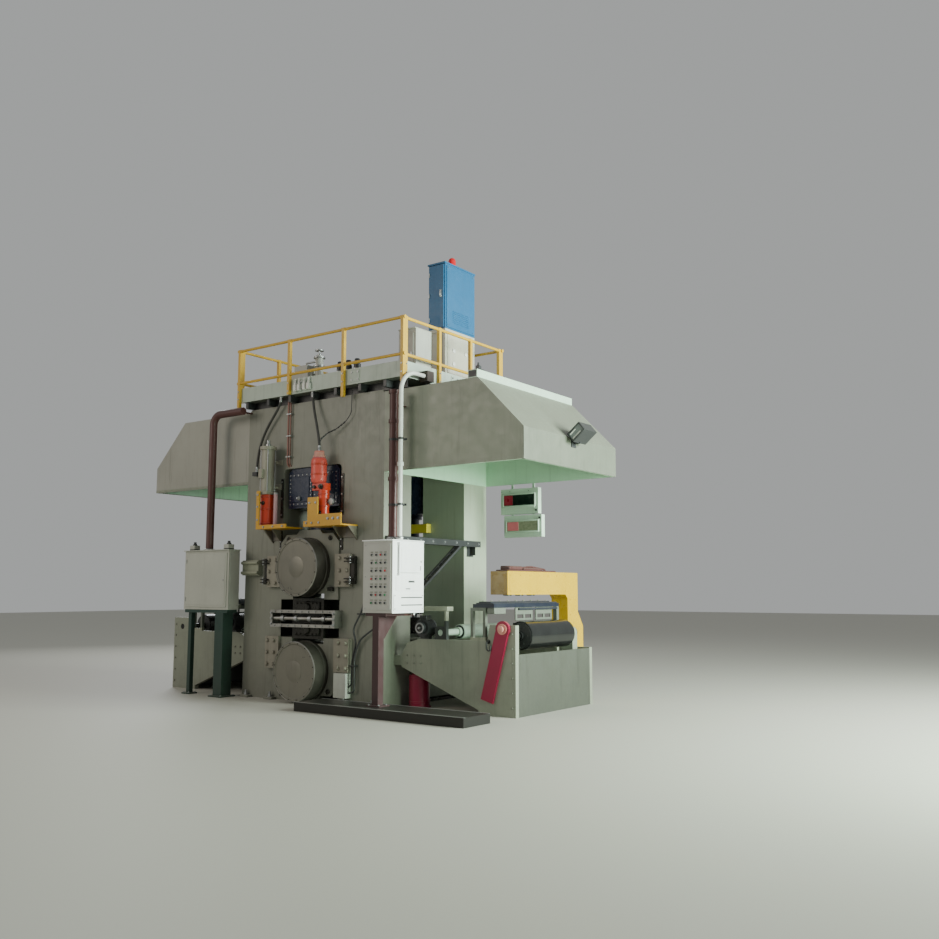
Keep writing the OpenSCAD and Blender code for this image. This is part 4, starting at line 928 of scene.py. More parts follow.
@dataclass
class Studio:
    """Camera, lights and floor."""

    eye: Point = (10.324, -11.460, 1.6)
    tilt: float = 97.176
    pan: float = 36.0
    focal_px: float = 965.0
    frame_px: float = 939.0
    sensor_mm: float = 36.0
    far_clip: float = 200.0
    floor_half: float = 60.0
    sky_strength: float = 0.46
    lamps: tuple[Lamp, ...] = (
        Lamp("key", (13.5, 1.5, 4.6), (1.0, 0.2, 2.6), 5.0, 4200.0, "#edfaf3"),
        Lamp("front_fill", (-6.0, -12.0, 7.0), (-0.8, 0.0, 2.6), 6.0, 470.0, "#fff3e6"),
        Lamp("low_exit_fill", (11.5, -2.0, 1.5), (2.5, 0.4, 3.4), 2.6, 640.0, "#dcffe2"),
        Lamp("entry_rim", (-12.0, 6.0, 8.0), (0.0, 0.0, 2.5), 5.0, 600.0, "#f7fbff"),
    )

    def camera(self) -> None:
        """Places the camera at the photograph's viewpoint."""
        data = bpy.data.cameras.new("photo_camera")
        data.sensor_width = self.sensor_mm
        data.lens = self.sensor_mm * self.focal_px / self.frame_px
        data.clip_end = self.far_clip
        made = bpy.data.objects.new("photo_camera", data)
        made.location = self.eye
        made.rotation_euler = (math.radians(self.tilt), 0.0, math.radians(self.pan))
        bpy.context.scene.collection.objects.link(made)
        bpy.context.scene.camera = made

    def hang(self, lamp: Lamp) -> None:
        """Hangs one lamp, out of the camera's sight.

        Args:
            lamp: the lamp.
        """
        data = bpy.data.lights.new(lamp.name, "AREA")
        data.shape = "SQUARE"
        data.size = lamp.side
        data.energy = lamp.watts
        data.color = linear_rgba(lamp.tint)[:3]
        made = bpy.data.objects.new(lamp.name, data)
        made.location = lamp.at
        way = Vector(lamp.to) - Vector(lamp.at)
        made.rotation_euler = way.to_track_quat("-Z", "Y").to_euler()
        made.visible_camera = False
        bpy.context.scene.collection.objects.link(made)

    def floor(self) -> None:
        """Lays a wide pale floor."""
        shape = Shape()
        bmesh.ops.create_grid(shape.bm, x_segments=2, y_segments=2, size=self.floor_half)
        mesh = bpy.data.meshes.new("studio_floor")
        shape.bm.to_mesh(mesh)
        shape.bm.free()
        finish = Finish("pale_studio_floor", "#b0aea3", 0.6)
        mesh.materials.append(finish.build())
        made = bpy.data.objects.new("studio_floor", mesh)
        bpy.context.scene.collection.objects.link(made)

    def world(self) -> None:
        """Sets a soft pale sky."""
        world = bpy.data.worlds.new("studio_sky")
        world.use_nodes = True
        sky = world.node_tree.nodes["Background"]
        sky.inputs["Color"].default_value = linear_rgba("#eef1f0")
        sky.inputs["Strength"].default_value = self.sky_strength
        bpy.context.scene.world = world

    def build(self) -> None:
        """Builds lamps, floor and sky."""
        for lamp in self.lamps:
            self.hang(lamp)
        self.floor()
        self.world()


@dataclass
class Hoses:
    """The two rubber hoses that hang from the platform edge to the front of the stand."""

    diameter: float = 0.038
    edge_y: float = -1.33
    edge_z: float = 4.57
    entry_foot: Point = (-1.165, -1.3, 3.44)
    exit_foot: Point = (0.32, -1.4315, 3.63)

    def hang(self, name: str, points: Sequence[Point], node: str) -> None:
        """Args:
            name: the piece's name.
            points: control points of the curve that the solid follows.
            node: the node that it replaces.
        """
        path = bezier(points, 26)
        hose = Shape().sweep(path, self.diameter / 2, 16).piece(name, Surface.HOSE)
        ends = Shape()
        for tip, inner in ((path[0], path[2]), (path[-1], path[-3])):
            way = (inner - tip).normalized()
            ends.rod(tip, tip + way * 0.085, self.diameter * 0.62, 16)
            ends.rod(tip + way * 0.02, tip + way * 0.052, self.diameter * 0.78, 6)
        crimps = ends.piece(name + "_ends", Surface.ZINC)
        length = sum((b - a).length for a, b in zip(path, path[1:]))
        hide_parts(node)
        tuple(path[0])

    def build(self) -> None:
        """Hangs both hoses on the routes of their solids."""
        x, y, z = self.entry_foot
        self.hang("entry_press_hose", ((-0.62, self.edge_y, self.edge_z),
            (-0.62, self.edge_y, self.edge_z - 0.27), (x, y, self.edge_z - 0.42), (x, y, z)),
            "entry_hose")
        x, y, z = self.exit_foot
        self.hang("exit_press_hose", ((0.06, self.edge_y, self.edge_z),
            (0.06, self.edge_y, self.edge_z - 0.32), (x, y, z + 0.31), (x, y, z)), "exit_hose")


@dataclass
class NodeCoats:
    """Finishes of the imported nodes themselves."""

    coats: tuple[tuple[Surface, tuple[str, ...]], ...] = (
        (Surface.MILL, ("operator_housing", "upper_backup_chocks", "lower_backup_chocks")),
        (Surface.DRIVE_PAINTED_LIGHT, ("drive_housing", "tie_beams")),
        (Surface.TABLE, ("exit_table", "entry_table")),
        (Surface.HOOD, ("exit_hood",)),
        (Surface.ENTRY_HOOD, ("entry_hood",)),
        (Surface.OILY, ("floor_pan", "work_roll_chocks")),
        (Surface.CAPS, ("upper_bearing_covers", "lower_bearing_covers")),
        (Surface.BAR, ("work_roll_frame",)),
        (Surface.ROLL, ("upper_backup_roll", "lower_backup_roll", "upper_work_roll",
            "lower_work_roll")),
        (Surface.NAVY, ("press_cylinders",)),
        (Surface.YELLOW, ("front_brackets",)),
        (Surface.BRACKET, ("inner_brackets",)),
        (Surface.GAUGE, ("strip_gauge",)),
        (Surface.RAIL_YELLOW, ("front_handrail", "rear_handrail", "exit_handrail",
            "entry_handrail")),
        (Surface.BALANCE, ("balance_cylinder",)),
        (Surface.TERMINAL, ("terminal_box",)),
        (Surface.KEEPER, ("keeper_plates",)),
        (Surface.DARK, ("platform_joists", "service_beam", "floodlight")),
        (Surface.DECK, ("platform_deck",)),
        (Surface.FASCIA, ("platform_fascia",)),
        (Surface.BLUE, ("roof_cabinet",)),
        (Surface.BEIGE, ("cabinet_stand",)),
        (Surface.CONTROL, ("control_box", "control_box_door")),
        (Surface.MAROON, ("control_post", "exit_conduit", "entry_conduit")),
        (Surface.DARK_GREEN, ("terminal_post",)),
        (Surface.STEP, ("operator_step",)),
        (Surface.LAGGING, ("exit_deflector_roll", "entry_deflector_roll")),
        (Surface.PALE_GREEN, ("exit_table_roll", "entry_table_roll", "readouts", "cable_duct")),
        (Surface.RED, ("lever_bar", "lift_cylinder")),
        (Surface.ACCUMULATORS, ("accumulators",)),
        (Surface.ROOF_GEAR, ("roof_valves",)),
        (Surface.FITTINGS, ("exit_table_fittings", "entry_table_fittings")),
        (Surface.POST_GEAR, ("post_fittings",)),
        (Surface.WHITE_PIPE, ("white_conduit",)),
        (Surface.BEACON_LAMP, ("warning_beacon",)),
    )

    def build(self) -> None:
        """Coats every node."""
        for surface, nodes in self.coats:
            for node in nodes:
                PAINT.coat_node(node, surface)


@dataclass
class StandDress:
    """Bolts, liners, eyes and plates on the housings and the roll stack."""

    outer_y: float = 1.25
    window: float = 0.6
    chock_y: float = 1.28
    backup_z: tuple[float, float] = (1.9473, 0.4527)
    work_z: tuple[float, float] = (1.360, 1.040)
    cap_y: float = 1.55
    frame_y: float = -1.41
    keeper_y: float = -1.325

    def window_trim(self) -> None:
        """Liner strips that frame each window, screwed to the posts."""
        strips = Shape()
        screws = Shape()
        for z0, z1 in ((2.19, 2.50), (2.70, 3.30)):
            strips.block((self.window, -self.outer_y - 0.012, z0),
                (self.window + 0.055, -self.outer_y + 0.004, z1), 0.003)
            screws.bolts([(self.window + 0.028, -self.outer_y - 0.012, z)
                for z in spread(z0 + 0.05, z1 - 0.05, 3)], Axis.FRONT, 0.024, False)
        strips.mirrored().mirrored(False).piece("window_liners", Surface.OILY)
        screws.mirrored().mirrored(False).piece("window_liner_screws", Surface.ZINC)

    def housing_bolts(self) -> None:
        """Anchor feet and nuts at floor level."""
        nuts = Shape()
        feet = Shape()
        bolt_y = -self.outer_y - 0.05
        for x in (0.75, 1.28):
            feet.block((x - 0.09, -self.outer_y - 0.10, 0.0), (x + 0.09, -self.outer_y + 0.004,
                0.035), 0.005)
            nuts.rod((x, bolt_y, 0.03), (x, bolt_y, 0.11), 0.018, 12)
            nuts.bolts([(x, bolt_y, 0.035)], Axis.UP, 0.055)
        feet.mirrored().mirrored(False).piece("anchor_feet", Surface.MILL, "mill_green")
        nuts.mirrored().mirrored(False).piece("anchor_nuts", Surface.ZINC)

    def covers(self) -> None:
        """Screws round the rim of each bearing cover, a turned step and a bright edge."""
        bolts = Shape()
        rims = Shape()
        steps = Shape()
        for z in self.backup_z:
            bolts.bolts(ring_points((0.0, -self.cap_y, z), 0.402, 16, Axis.FRONT, 0.196),
                Axis.FRONT, 0.014, False)
            rims.lathe([(0.4245, 0.0), (0.4275, 0.002), (0.4275, 0.006), (0.4185, 0.014),
                (0.4165, 0.0125)], (0.0, -self.cap_y + 0.010, z), Axis.FRONT, 96)
            steps.lathe(cap_profile(0.150, 0.004, 0.142, 0.006), (0.0, -self.cap_y + 0.0135, z),
                Axis.FRONT, 64)
        bolts.mirrored(False).piece("cover_screws", Surface.OILY, "ground_steel")
        rims.mirrored(False).piece("cover_rims", Surface.BAR, "ground_steel")
        steps.mirrored(False).piece("cover_hubs", Surface.CAPS, "ground_steel")

    def chock_fittings(self) -> None:
        """Lifting eyes, grease blocks and hose stubs on the faces of the chocks."""
        eyes = Shape()
        blocks = Shape()
        for z in (self.backup_z[0] + 0.42, self.backup_z[1] - 0.28):
            for x in (-0.43, 0.43):
                eyes.lathe(port_profile(0.036, 0.012, 0.018, 0.018, 0.035), (x, -self.chock_y, z),
                    Axis.FRONT, 20)
        for x in (-0.47, 0.47):
            blocks.block((x - 0.05, -self.chock_y - 0.045, 1.60),
                (x + 0.05, -self.chock_y + 0.003, 1.655), 0.005)
        for z in self.work_z:
            blocks.block((-0.25, -self.chock_y - 0.03, z - 0.085),
                (0.25, -self.chock_y + 0.003, z + 0.085), 0.01)
            eyes.lathe(cap_profile(0.072, 0.02, 0.058, 0.034), (0.0, -self.chock_y - 0.03, z),
                Axis.FRONT, 32)
            eyes.bolts([(x, -self.chock_y - 0.03, z + dz) for x in (-0.2, -0.12, 0.12, 0.2)
                for dz in (-0.06, 0.06)], Axis.FRONT, 0.024, False)
        eyes.mirrored(False).piece("chock_eyes", Surface.OILY, "ground_steel")
        blocks.mirrored(False).piece("chock_blocks", Surface.OILY)

    def roll_frame(self) -> None:
        """Clamp bolts and bright collars on the frame in front of the work rolls."""
        bright = Shape()
        for z in (1.098, 1.302):
            bright.bolts([(x, self.frame_y, z) for x in spread(-0.56, 0.56, 9)], Axis.FRONT, 0.022,
                False)
        for x in (-0.637, 0.637):
            bright.bolts([(x, self.frame_y, z) for z in (1.12, 1.2, 1.28)], Axis.FRONT, 0.03)
        for x in (-0.42, -0.14, 0.14, 0.42):
            bright.lathe(ring_profile(0.031, 0.045, 0.06, -0.03), (x, -1.364, 1.2), Axis.RIGHT, 24)
        bright.mirrored(False).piece("work_roll_frame_bolts", Surface.ZINC, "ground_steel")

    def keepers(self) -> None:
        """Bolts, hinge blocks and pins of the keeper plates."""
        bolts = Shape()
        hinges = Shape()
        pins = Shape()
        for z0 in (0.46, 1.66):
            bolts.bolts([(x, self.keeper_y, z0 + dz) for x in (0.66, 0.80)
                for dz in (0.06, 0.235, 0.41)], Axis.FRONT, 0.046)
        for z in (1.75, 2.04):
            for dz in (-0.032, 0.014):
                hinges.block((0.80, -1.39, z + dz), (0.93, -1.32, z + dz + 0.018), 0.003)
            pins.rod((0.895, -1.36, z - 0.05), (0.895, -1.36, z + 0.05), 0.014, 16)
        hinges.block((0.846, -1.31, 1.70), (0.93, -1.249, 2.09), 0.004)
        bolts.mirrored().piece("keeper_bolts", Surface.KEEPER)
        hinges.mirrored().piece("keeper_hinges", Surface.OILY)
        pins.mirrored().piece("keeper_pins", Surface.ZINC)

    def build(self) -> None:
        """Dresses the stand."""
        self.window_trim()
        self.housing_bolts()
        self.covers()
        self.chock_fittings()
        self.roll_frame()
        self.keepers()


@dataclass
class PressDress:
    """What is bolted to the press cylinders, shelves, accumulators and balance cylinder."""

    block_y: float = -1.21
    shelf_y: float = -1.6
    shelf_top: float = 2.54
    bottle: Flat = (0.32, -1.4315)
    valve: Flat = (0.43, -1.4315)
    balance: Flat = (-0.77, -1.4315)

    def cylinders(self) -> None:
        """Cover plates, their dotted edge of screws and sensors on the press cylinders."""
        plates = Shape()
        for x0, x1 in ((-0.50, -0.02), (0.02, 0.50)):
            plates.block((x0, self.block_y - 0.014, 2.87), (x1, self.block_y + 0.003, 3.37), 0.006)
            plates.block((x0 + 0.06, self.block_y - 0.026, 2.93),
                (x1 - 0.06, self.block_y - 0.010, 3.31), 0.006)
        plates.mirrored(False).piece("press_cover_plates", Surface.NAVY, "navy_paint")
        screws = Shape()
        edge = self.block_y - 0.014
        screws.bolts([(x, edge, z) for x in (-0.475, -0.045, 0.045, 0.475)
            for z in spread(2.90, 3.34, 8)], Axis.FRONT, 0.020, False)
        screws.bolts([(x, edge, z) for x in (-0.40, -0.31, -0.22, -0.13, 0.13, 0.22, 0.31, 0.40)
            for z in (2.90, 3.34)], Axis.FRONT, 0.020, False)
        for x in (-0.27, 0.27):
            screws.lathe(port_profile(0.032, 0.03, 0.014, 0.042, 0.06),
                (x, self.block_y - 0.025, 2.985), Axis.FRONT, 20)
        screws.mirrored(False).piece("press_screws", Surface.ZINC)

    def shelves(self) -> None:
        """Bolts through the shelves, round the cylinders' feet, and pads on the posts."""
        bolts = Shape()
        bolts.bolts([(x, self.shelf_y, 2.62) for x in (0.68, 0.78, 0.88)], Axis.FRONT, 0.03)
        # Rows on the exit shelf, then on the entry shelf and its upright plate
        for row in ([(x, 2.57) for x in (0.25, 0.36, 0.5)], [(x, 2.86) for x in (0.31, 0.43)],
                [(x, 2.55) for x in (-0.25, -0.45, -0.65)], [(-0.79, z)
                for z in (2.66, 2.86, 3.04)]):
            bolts.bolts([(x, self.shelf_y, z) for x, z in row], Axis.FRONT, 0.024)
        for foot, radius in ((self.valve, 0.1), (self.balance, 0.118)):
            bolts.bolts(ring_points((*foot, self.shelf_top), radius, 6, Axis.UP), Axis.UP, 0.024)
        bolts.piece("shelf_bolts", Surface.ZINC)
        pads = Shape()
        for x0, x1 in ((0.62, 0.93), (-0.82, -0.62)):
            pads.block((x0, -1.268, 2.36), (x1, -1.249, 2.525), 0.004)
        pads.piece("shelf_pads", Surface.YELLOW, "yellow_paint")

    def accumulators(self) -> None:
        """Clamp bands, ports, cap and gauge of the accumulators."""
        x, y = self.bottle
        vx, vy = self.valve
        bx, by = self.balance
        cap = Shape()
        cap.lathe(cap_profile(0.074, 0.05, 0.066, 0.062), (x, y, 3.565), Axis.UP, 32)
        cap.lathe(band_profile(0.075, 0.090, 0.004, 0.032), (x, y, 3.535), Axis.UP, 32)
        cap.piece("bottle_cap", Surface.CAP_PINK, "orange_paint")
        bands = Shape()
        for z in (3.27, 3.42):
            bands.lathe(band_profile(0.115, 0.1205, 0.002, 0.03), (x, y, z), Axis.UP, 40)
            bands.block((x + 0.11, y - 0.02, z + 0.001), (x + 0.15, y + 0.02, z + 0.029), 0.003)
        for z in (2.62, 2.80, 2.98):
            bands.lathe(band_profile(0.0775, 0.087, 0.003, 0.027), (vx, vy, z), Axis.UP, 32)
        for z in (2.60, 2.82, 3.0):
            bands.lathe(band_profile(0.095, 0.104, 0.003, 0.025), (bx, by, z), Axis.UP, 32)
        bands.piece("accumulator_bands", Surface.ORANGE, "orange_paint")
        ports = Shape()
        ports.lathe(port_profile(0.038, 0.02, 0.022, 0.024, 0.05), (vx, vy - 0.0595, 3.10),
            Axis.FRONT, 24)
        ports.lathe(ring_profile(0.0, 0.026, 0.03), (x - 0.02, y - 0.0595, 3.10), Axis.FRONT, 6)
        small = port_profile(0.03, 0.016, 0.016, 0.02, 0.05)
        ports.lathe(small, (vx, vy - 0.077, 2.72), Axis.FRONT, 24)
        ports.lathe(small, (bx + 0.02, by - 0.0935, 2.92), Axis.FRONT, 24)
        ports.piece("accumulator_ports", Surface.OILY)
        gauge = Shape()
        gauge.rod((vx + 0.075, vy, 2.88), (vx + 0.12, vy, 2.88), 0.01, 12)
        gauge.lathe([(0.0, 0.0), (0.05, 0.0), (0.052, 0.004), (0.052, 0.026), (0.044, 0.032),
            (0.044, 0.026), (0.0, 0.026)], (vx + 0.15, vy + 0.01, 2.88), Axis.FRONT, 32)
        gauge.piece("pressure_gauge", Surface.ZINC)

    def balance_gear(self) -> None:
        """Tie rods, heads and a sensor on the balance cylinder."""
        x, y = self.balance
        rods = Shape()
        for px, py, _ in ring_points((x, y, 0.0), 0.105, 4, Axis.UP, math.pi / 4):
            rods.rod((px, py, 3.06), (px, py, 3.78), 0.009, 10)
            rods.bolts([(px, py, 3.05)], Axis.UP, 0.024, False)
        rods.lathe(port_profile(0.04, 0.04, 0.025, 0.05, 0.1), (x, y, 3.789), Axis.UP, 20)
        rods.lathe(ring_profile(0.0, 0.035, 0.02), (x + 0.19, y, 3.049), Axis.UP, 20)
        rods.piece("balance_tie_rods", Surface.ZINC)
        heads = Shape()
        heads.block((x - 0.125, y - 0.125, 3.05), (x + 0.125, y + 0.1, 3.095), 0.006)
        heads.block((x - 0.06, y - 0.14, 3.30), (x + 0.02, y - 0.09, 3.44), 0.005)
        for z0, z1 in ((3.13, 3.23), (3.52, 3.60)):
            heads.block((x - 0.14, -1.262, z0), (x + 0.14, -1.249, z1), 0.004)
        heads.piece("balance_heads", Surface.BALANCE, "grey_paint")

    def pipes(self) -> None:
        """Rigid oil pipes down the front of the operator housing, with their clips."""
        pipes = Shape()
        for x, radius in ((-0.50, 0.014), (-0.455, 0.009)):
            pipes.pipe(((x, -1.285, 4.50), (x, -1.285, 3.52), (x, -1.225, 3.46)), radius, 0.05)
        pipes.piece("front_oil_pipes", Surface.PINK_PIPE, "maroon_paint")
        thin = Shape()
        # Capillary tube from the platform edge to the bottle, with its beads of tape
        route = [Vector(p) for p in ((0.83, -1.30, 4.50), (0.822, -1.30, 4.17),
            (0.72, -1.30, 4.058), (0.54, -1.31, 3.958), (0.40, -1.36, 3.90), (0.33, -1.4315, 3.80),
            (0.32, -1.4315, 3.62))]
        thin.pipe(route, 0.006, 0.06)
        for start, end in zip(route[2:5], route[3:6]):
            way = (end - start).normalized()
            for t in (0.2, 0.5, 0.8):
                at = start.lerp(end, t)
                thin.rod(at - way * 0.016, at + way * 0.016, 0.012, 10)
        # Lubrication tubes from under the control box to the grey box on the post
        for tube in (((1.10, -1.27, 1.50), (1.09, -1.30, 1.34), (0.91, -1.30, 1.06),
                (0.985, -1.30, 0.88), (0.90, -1.30, 0.62), (0.90, -1.30, 0.30),
                (0.84, -1.30, 0.26)), ((1.36, -1.27, 1.22), (1.34, -1.30, 1.10),
                (1.05, -1.30, 0.93), (0.95, -1.30, 0.70), (0.95, -1.30, 0.20),
                (0.84, -1.30, 0.18))):
            thin.pipe(tube, 0.013, 0.10)
        for x, z in ((0.93, 0.55), (1.06, 1.27)):
            thin.block((x - 0.06, -1.318, z), (x + 0.04, -1.249, z + 0.02), 0.003)
        thin.piece("capillary_and_lube_tubes", Surface.DARK)
        clips = Shape()
        for z in (4.28, 3.94, 3.62):
            clips.block((-0.53, -1.305, z), (-0.43, -1.249, z + 0.022), 0.003)
            clips.bolts([(-0.478, -1.305, z + 0.011)], Axis.FRONT, 0.014, False)
        clips.piece("front_pipe_clips", Surface.ZINC)

    def build(self) -> None:
        """Dresses the press gear."""
        self.cylinders()
        self.shelves()
        self.accumulators()
        self.balance_gear()
        self.pipes()


@dataclass
class HoodDress:
    """Folds, ribs, rims and screws of the two hoods."""

    near: float = 1.42
    far: float = 3.76
    knee: float = 3.04
    side_y: float = 1.25
    low: float = 3.27
    top: float = 4.42

    def build(self) -> None:
        """Builds the trims of the exit hood and mirrors them to the entry hood."""
        seams = Shape()
        seams.block((self.near, -self.side_y - 0.004, self.low),
            (self.far, -self.side_y + 0.002, self.low + 0.04), 0.0015)
        for y in (-0.42, 0.42):
            seams.block((self.near + 0.01, y - 0.02, self.top - 0.002),
                (self.knee - 0.16, y + 0.02, self.top + 0.006), 0.002)
        seams.mirrored(False).mirrored().piece("hood_seams", Surface.HOOD, "mill_green")
        rims = Shape()
        inner_y, rim_top = self.side_y - 0.012, self.low + 0.006
        rims.block((self.near + 0.012, -inner_y, self.low), (self.far - 0.012, -self.side_y + 0.05,
            rim_top), 0.0)
        rims.block((self.far - 0.05, -inner_y, self.low), (self.far - 0.012, inner_y, rim_top),
            0.0)
        # Ribs under the roof, lower where it slopes
        for x in (1.95, 2.55, 3.15):
            drop = max(0.0, x - self.knee) * 1.1
            rims.block((x - 0.006, -inner_y, 4.34 - drop), (x + 0.006, inner_y, 4.402 - drop), 0.0)
        rims.mirrored().piece("hood_rims", Surface.HOOD, "mill_green")
        # Dark plate on the open end of the cable duct, a painted shade, and the clamp on top of it
        end = Shape().block((2.892, -self.side_y - 0.004, 4.432),
            (3.018, -self.side_y + 0.002, 4.518), 0.002)
        end.block((2.92, -1.20, 4.529), (3.03, -1.08, 4.545), 0.003)
        end.block((2.945, -1.17, 4.54), (3.005, -1.11, 4.60), 0.006)
        end.rod((2.975, -1.14, 4.595), (2.975, -1.14, 4.64), 0.016, 12)
        end.piece("duct_end_painted_shade_and_clamp", Surface.DARK)
        screws = Shape()
        screws.bolts([(x, -self.side_y - 0.004, self.low + 0.02)
            for x in spread(self.near + 0.1, self.far - 0.1, 14)], Axis.FRONT, 0.014, False)
        screws.mirrored(False).mirrored().piece("hood_screws", Surface.HOOD, "mill_green")


@dataclass
class PlatformDress:
    """Rail sleeves, splices, joist ends and roof gear of the platform."""

    exit_x: float = 1.84
    entry_x: float = -1.49
    front_y: float = -1.37
    rear_y: float = 1.0
    deck_z: float = 4.57
    post_x: tuple[float, ...] = (-1.515, -0.3883, 0.7383, 1.865)
    post_y: tuple[float, ...] = (-1.345, -0.5717, 0.2017, 0.975)
    rail_z: tuple[float, float] = (5.403, 4.88)
    column_x: float = -0.35
    valve_y: float = -0.8

    def rail_joints(self) -> None:
        """Sleeves where the tubes meet the posts, and bolts into the channel."""
        sleeves = Shape()
        bolts = Shape()
        for z in self.rail_z:
            for x in self.post_x:
                for y in (self.front_y - 0.025, self.rear_y + 0.025):
                    sleeves.rod((x - 0.045, y, z), (x + 0.045, y, z), 0.0262, 16)
            for y in self.post_y:
                for x in (self.exit_x + 0.025, self.entry_x - 0.025):
                    sleeves.rod((x, y - 0.045, z), (x, y + 0.045, z), 0.0262, 16)
        for x in self.post_x:
            for y, way in ((self.front_y - 0.05, Axis.FRONT), (self.rear_y + 0.05, Axis.BACK)):
                bolts.bolts([(x, y, z) for z in (4.62, 4.74)], way, 0.018)
        for y in self.post_y:
            for x, way in ((self.exit_x + 0.05, Axis.RIGHT), (self.entry_x - 0.05, Axis.LEFT)):
                bolts.bolts([(x, y, z) for z in (4.62, 4.74)], way, 0.018)
        sleeves.piece("rail_sleeves", Surface.RAIL_YELLOW, "yellow_paint")
        bolts.piece("rail_bolts", Surface.ZINC)

    def edge(self) -> None:
        """Splice plates with their bolts, and joist ends along the channel."""
        plates = Shape()
        bolts = Shape()
        low, high = self.deck_z + 0.03, self.deck_z + 0.20
        front, rear, side = self.front_y - 0.008, self.rear_y + 0.008, self.exit_x + 0.008
        for x in (-0.2, 0.95):
            plates.block((x - 0.09, front, low), (x + 0.09, self.front_y + 0.002, high), 0.002)
            plates.block((x - 0.09, self.rear_y - 0.002, low), (x + 0.09, rear, high), 0.002)
            for dx in (-0.06, 0.06):
                for y, way in ((front, Axis.FRONT), (rear, Axis.BACK)):
                    bolts.bolts([(x + dx, y, z) for z in (4.63, 4.74)], way, 0.02)
        plates.block((self.exit_x - 0.002, -0.25, low), (side, -0.07, high), 0.002)
        plates.piece("channel_splices", Surface.FASCIA, "grey_paint")
        bolts.bolts([(side, y, z) for y in (-0.22, -0.10) for z in (4.63, 4.74)], Axis.RIGHT, 0.02)
        bolts.piece("splice_bolts", Surface.ZINC)
        beams = Shape()
        for x in spread(-1.38, 1.5, 7):
            beams.block((x - 0.03, self.front_y + 0.02, 4.462), (x + 0.03, -1.19, 4.568), 0.003)
        beams.piece("platform_edge_stubs", Surface.DARK)

    def valves(self) -> None:
        """Flanges, handwheel, coils and small pipes on the valve gear."""
        zinc = Shape()
        dark = Shape()
        column, y = self.column_x, self.valve_y
        for z in (4.66, 4.88, 5.10, 5.24):
            zinc.lathe(ring_profile(0.065, 0.095, 0.022), (column, y, z), Axis.UP, 28)
        for x in (0.10, 0.28, 0.46):
            zinc.lathe(ring_profile(0.055, 0.072, 0.016), (x, y, 4.95), Axis.UP, 28)
            dark.lathe([(0.0, 0.0), (0.04, 0.0), (0.044, 0.02), (0.044, 0.07), (0.034, 0.085),
                (0.0, 0.085)], (x, y, 5.039), Axis.UP, 24)
            dark.block((x - 0.05, -0.96, 4.68), (x + 0.05, -0.888, 4.84), 0.006)
        for x in (-0.80, -0.64, -0.48):
            dark.block((x - 0.045, -1.05, 4.68), (x + 0.045, -0.978, 4.83), 0.006)
            zinc.lathe(cap_profile(0.03, 0.06, 0.018, 0.07), (x, -1.05, 4.755), Axis.FRONT, 20)
        # Handwheel on its spindle, then the lines to the column and away from the valves
        zinc.lathe([(0.0, 0.0), (0.03, 0.0), (0.03, 0.03), (0.012, 0.04), (0.012, 0.08),
            (0.07, 0.08), (0.07, 0.10), (0.0, 0.10)], (column, y, 5.279), Axis.UP, 20)
        zinc.pipe(((-0.64, y, 5.13), (-0.64, y, 5.20), (-0.50, y, 5.20), (column, y, 5.20)), 0.016,
            0.05)
        for x, end in ((0.10, -0.55), (0.46, -0.50)):
            zinc.pipe(((x, -0.71, 4.78), (x, end, 4.78), (x, end, 4.60)), 0.016, 0.06)
        zinc.piece("valve_trim", Surface.ZINC)
        dark.piece("valve_coils", Surface.DARK)

    def edge_tubes(self) -> None:
        """White tube fittings in front of the channel."""
        fittings = Shape()
        for x in (-0.25, -0.17, -0.06, 0.03):
            fittings.block((x - 0.028, -1.425, 4.60), (x + 0.028, -1.368, 4.70), 0.008)
            fittings.lathe(port_profile(0.02, 0.03, 0.012, 0.04, 0.09), (x, -1.397, 4.699),
                Axis.UP, 16)
        fittings.piece("edge_tube_fittings", Surface.WHITE_BOX, "grey_paint")

    def roof_box(self) -> None:
        """Door, rain lip and latch of the grey box on the platform."""
        door = Shape()
        door.block((1.48, -0.994, 4.64), (1.72, -0.978, 5.30), 0.004)
        door.block((1.44, -1.0, 5.355), (1.76, -0.60, 5.372), 0.004)
        door.piece("roof_box_door", Surface.GREY_BOX, "grey_paint")
        latch = Shape()
        latch.lathe(ring_profile(0.0, 0.018, 0.012), (1.69, -0.994, 4.97), Axis.FRONT, 20)
        latch.block((1.682, -1.012, 4.93), (1.698, -1.0, 5.01), 0.003)
        latch.piece("roof_box_latch", Surface.ZINC)

    def build(self) -> None:
        """Dresses the platform."""
        self.rail_joints()
        self.edge()
        self.valves()
        self.edge_tubes()
        self.roof_box()


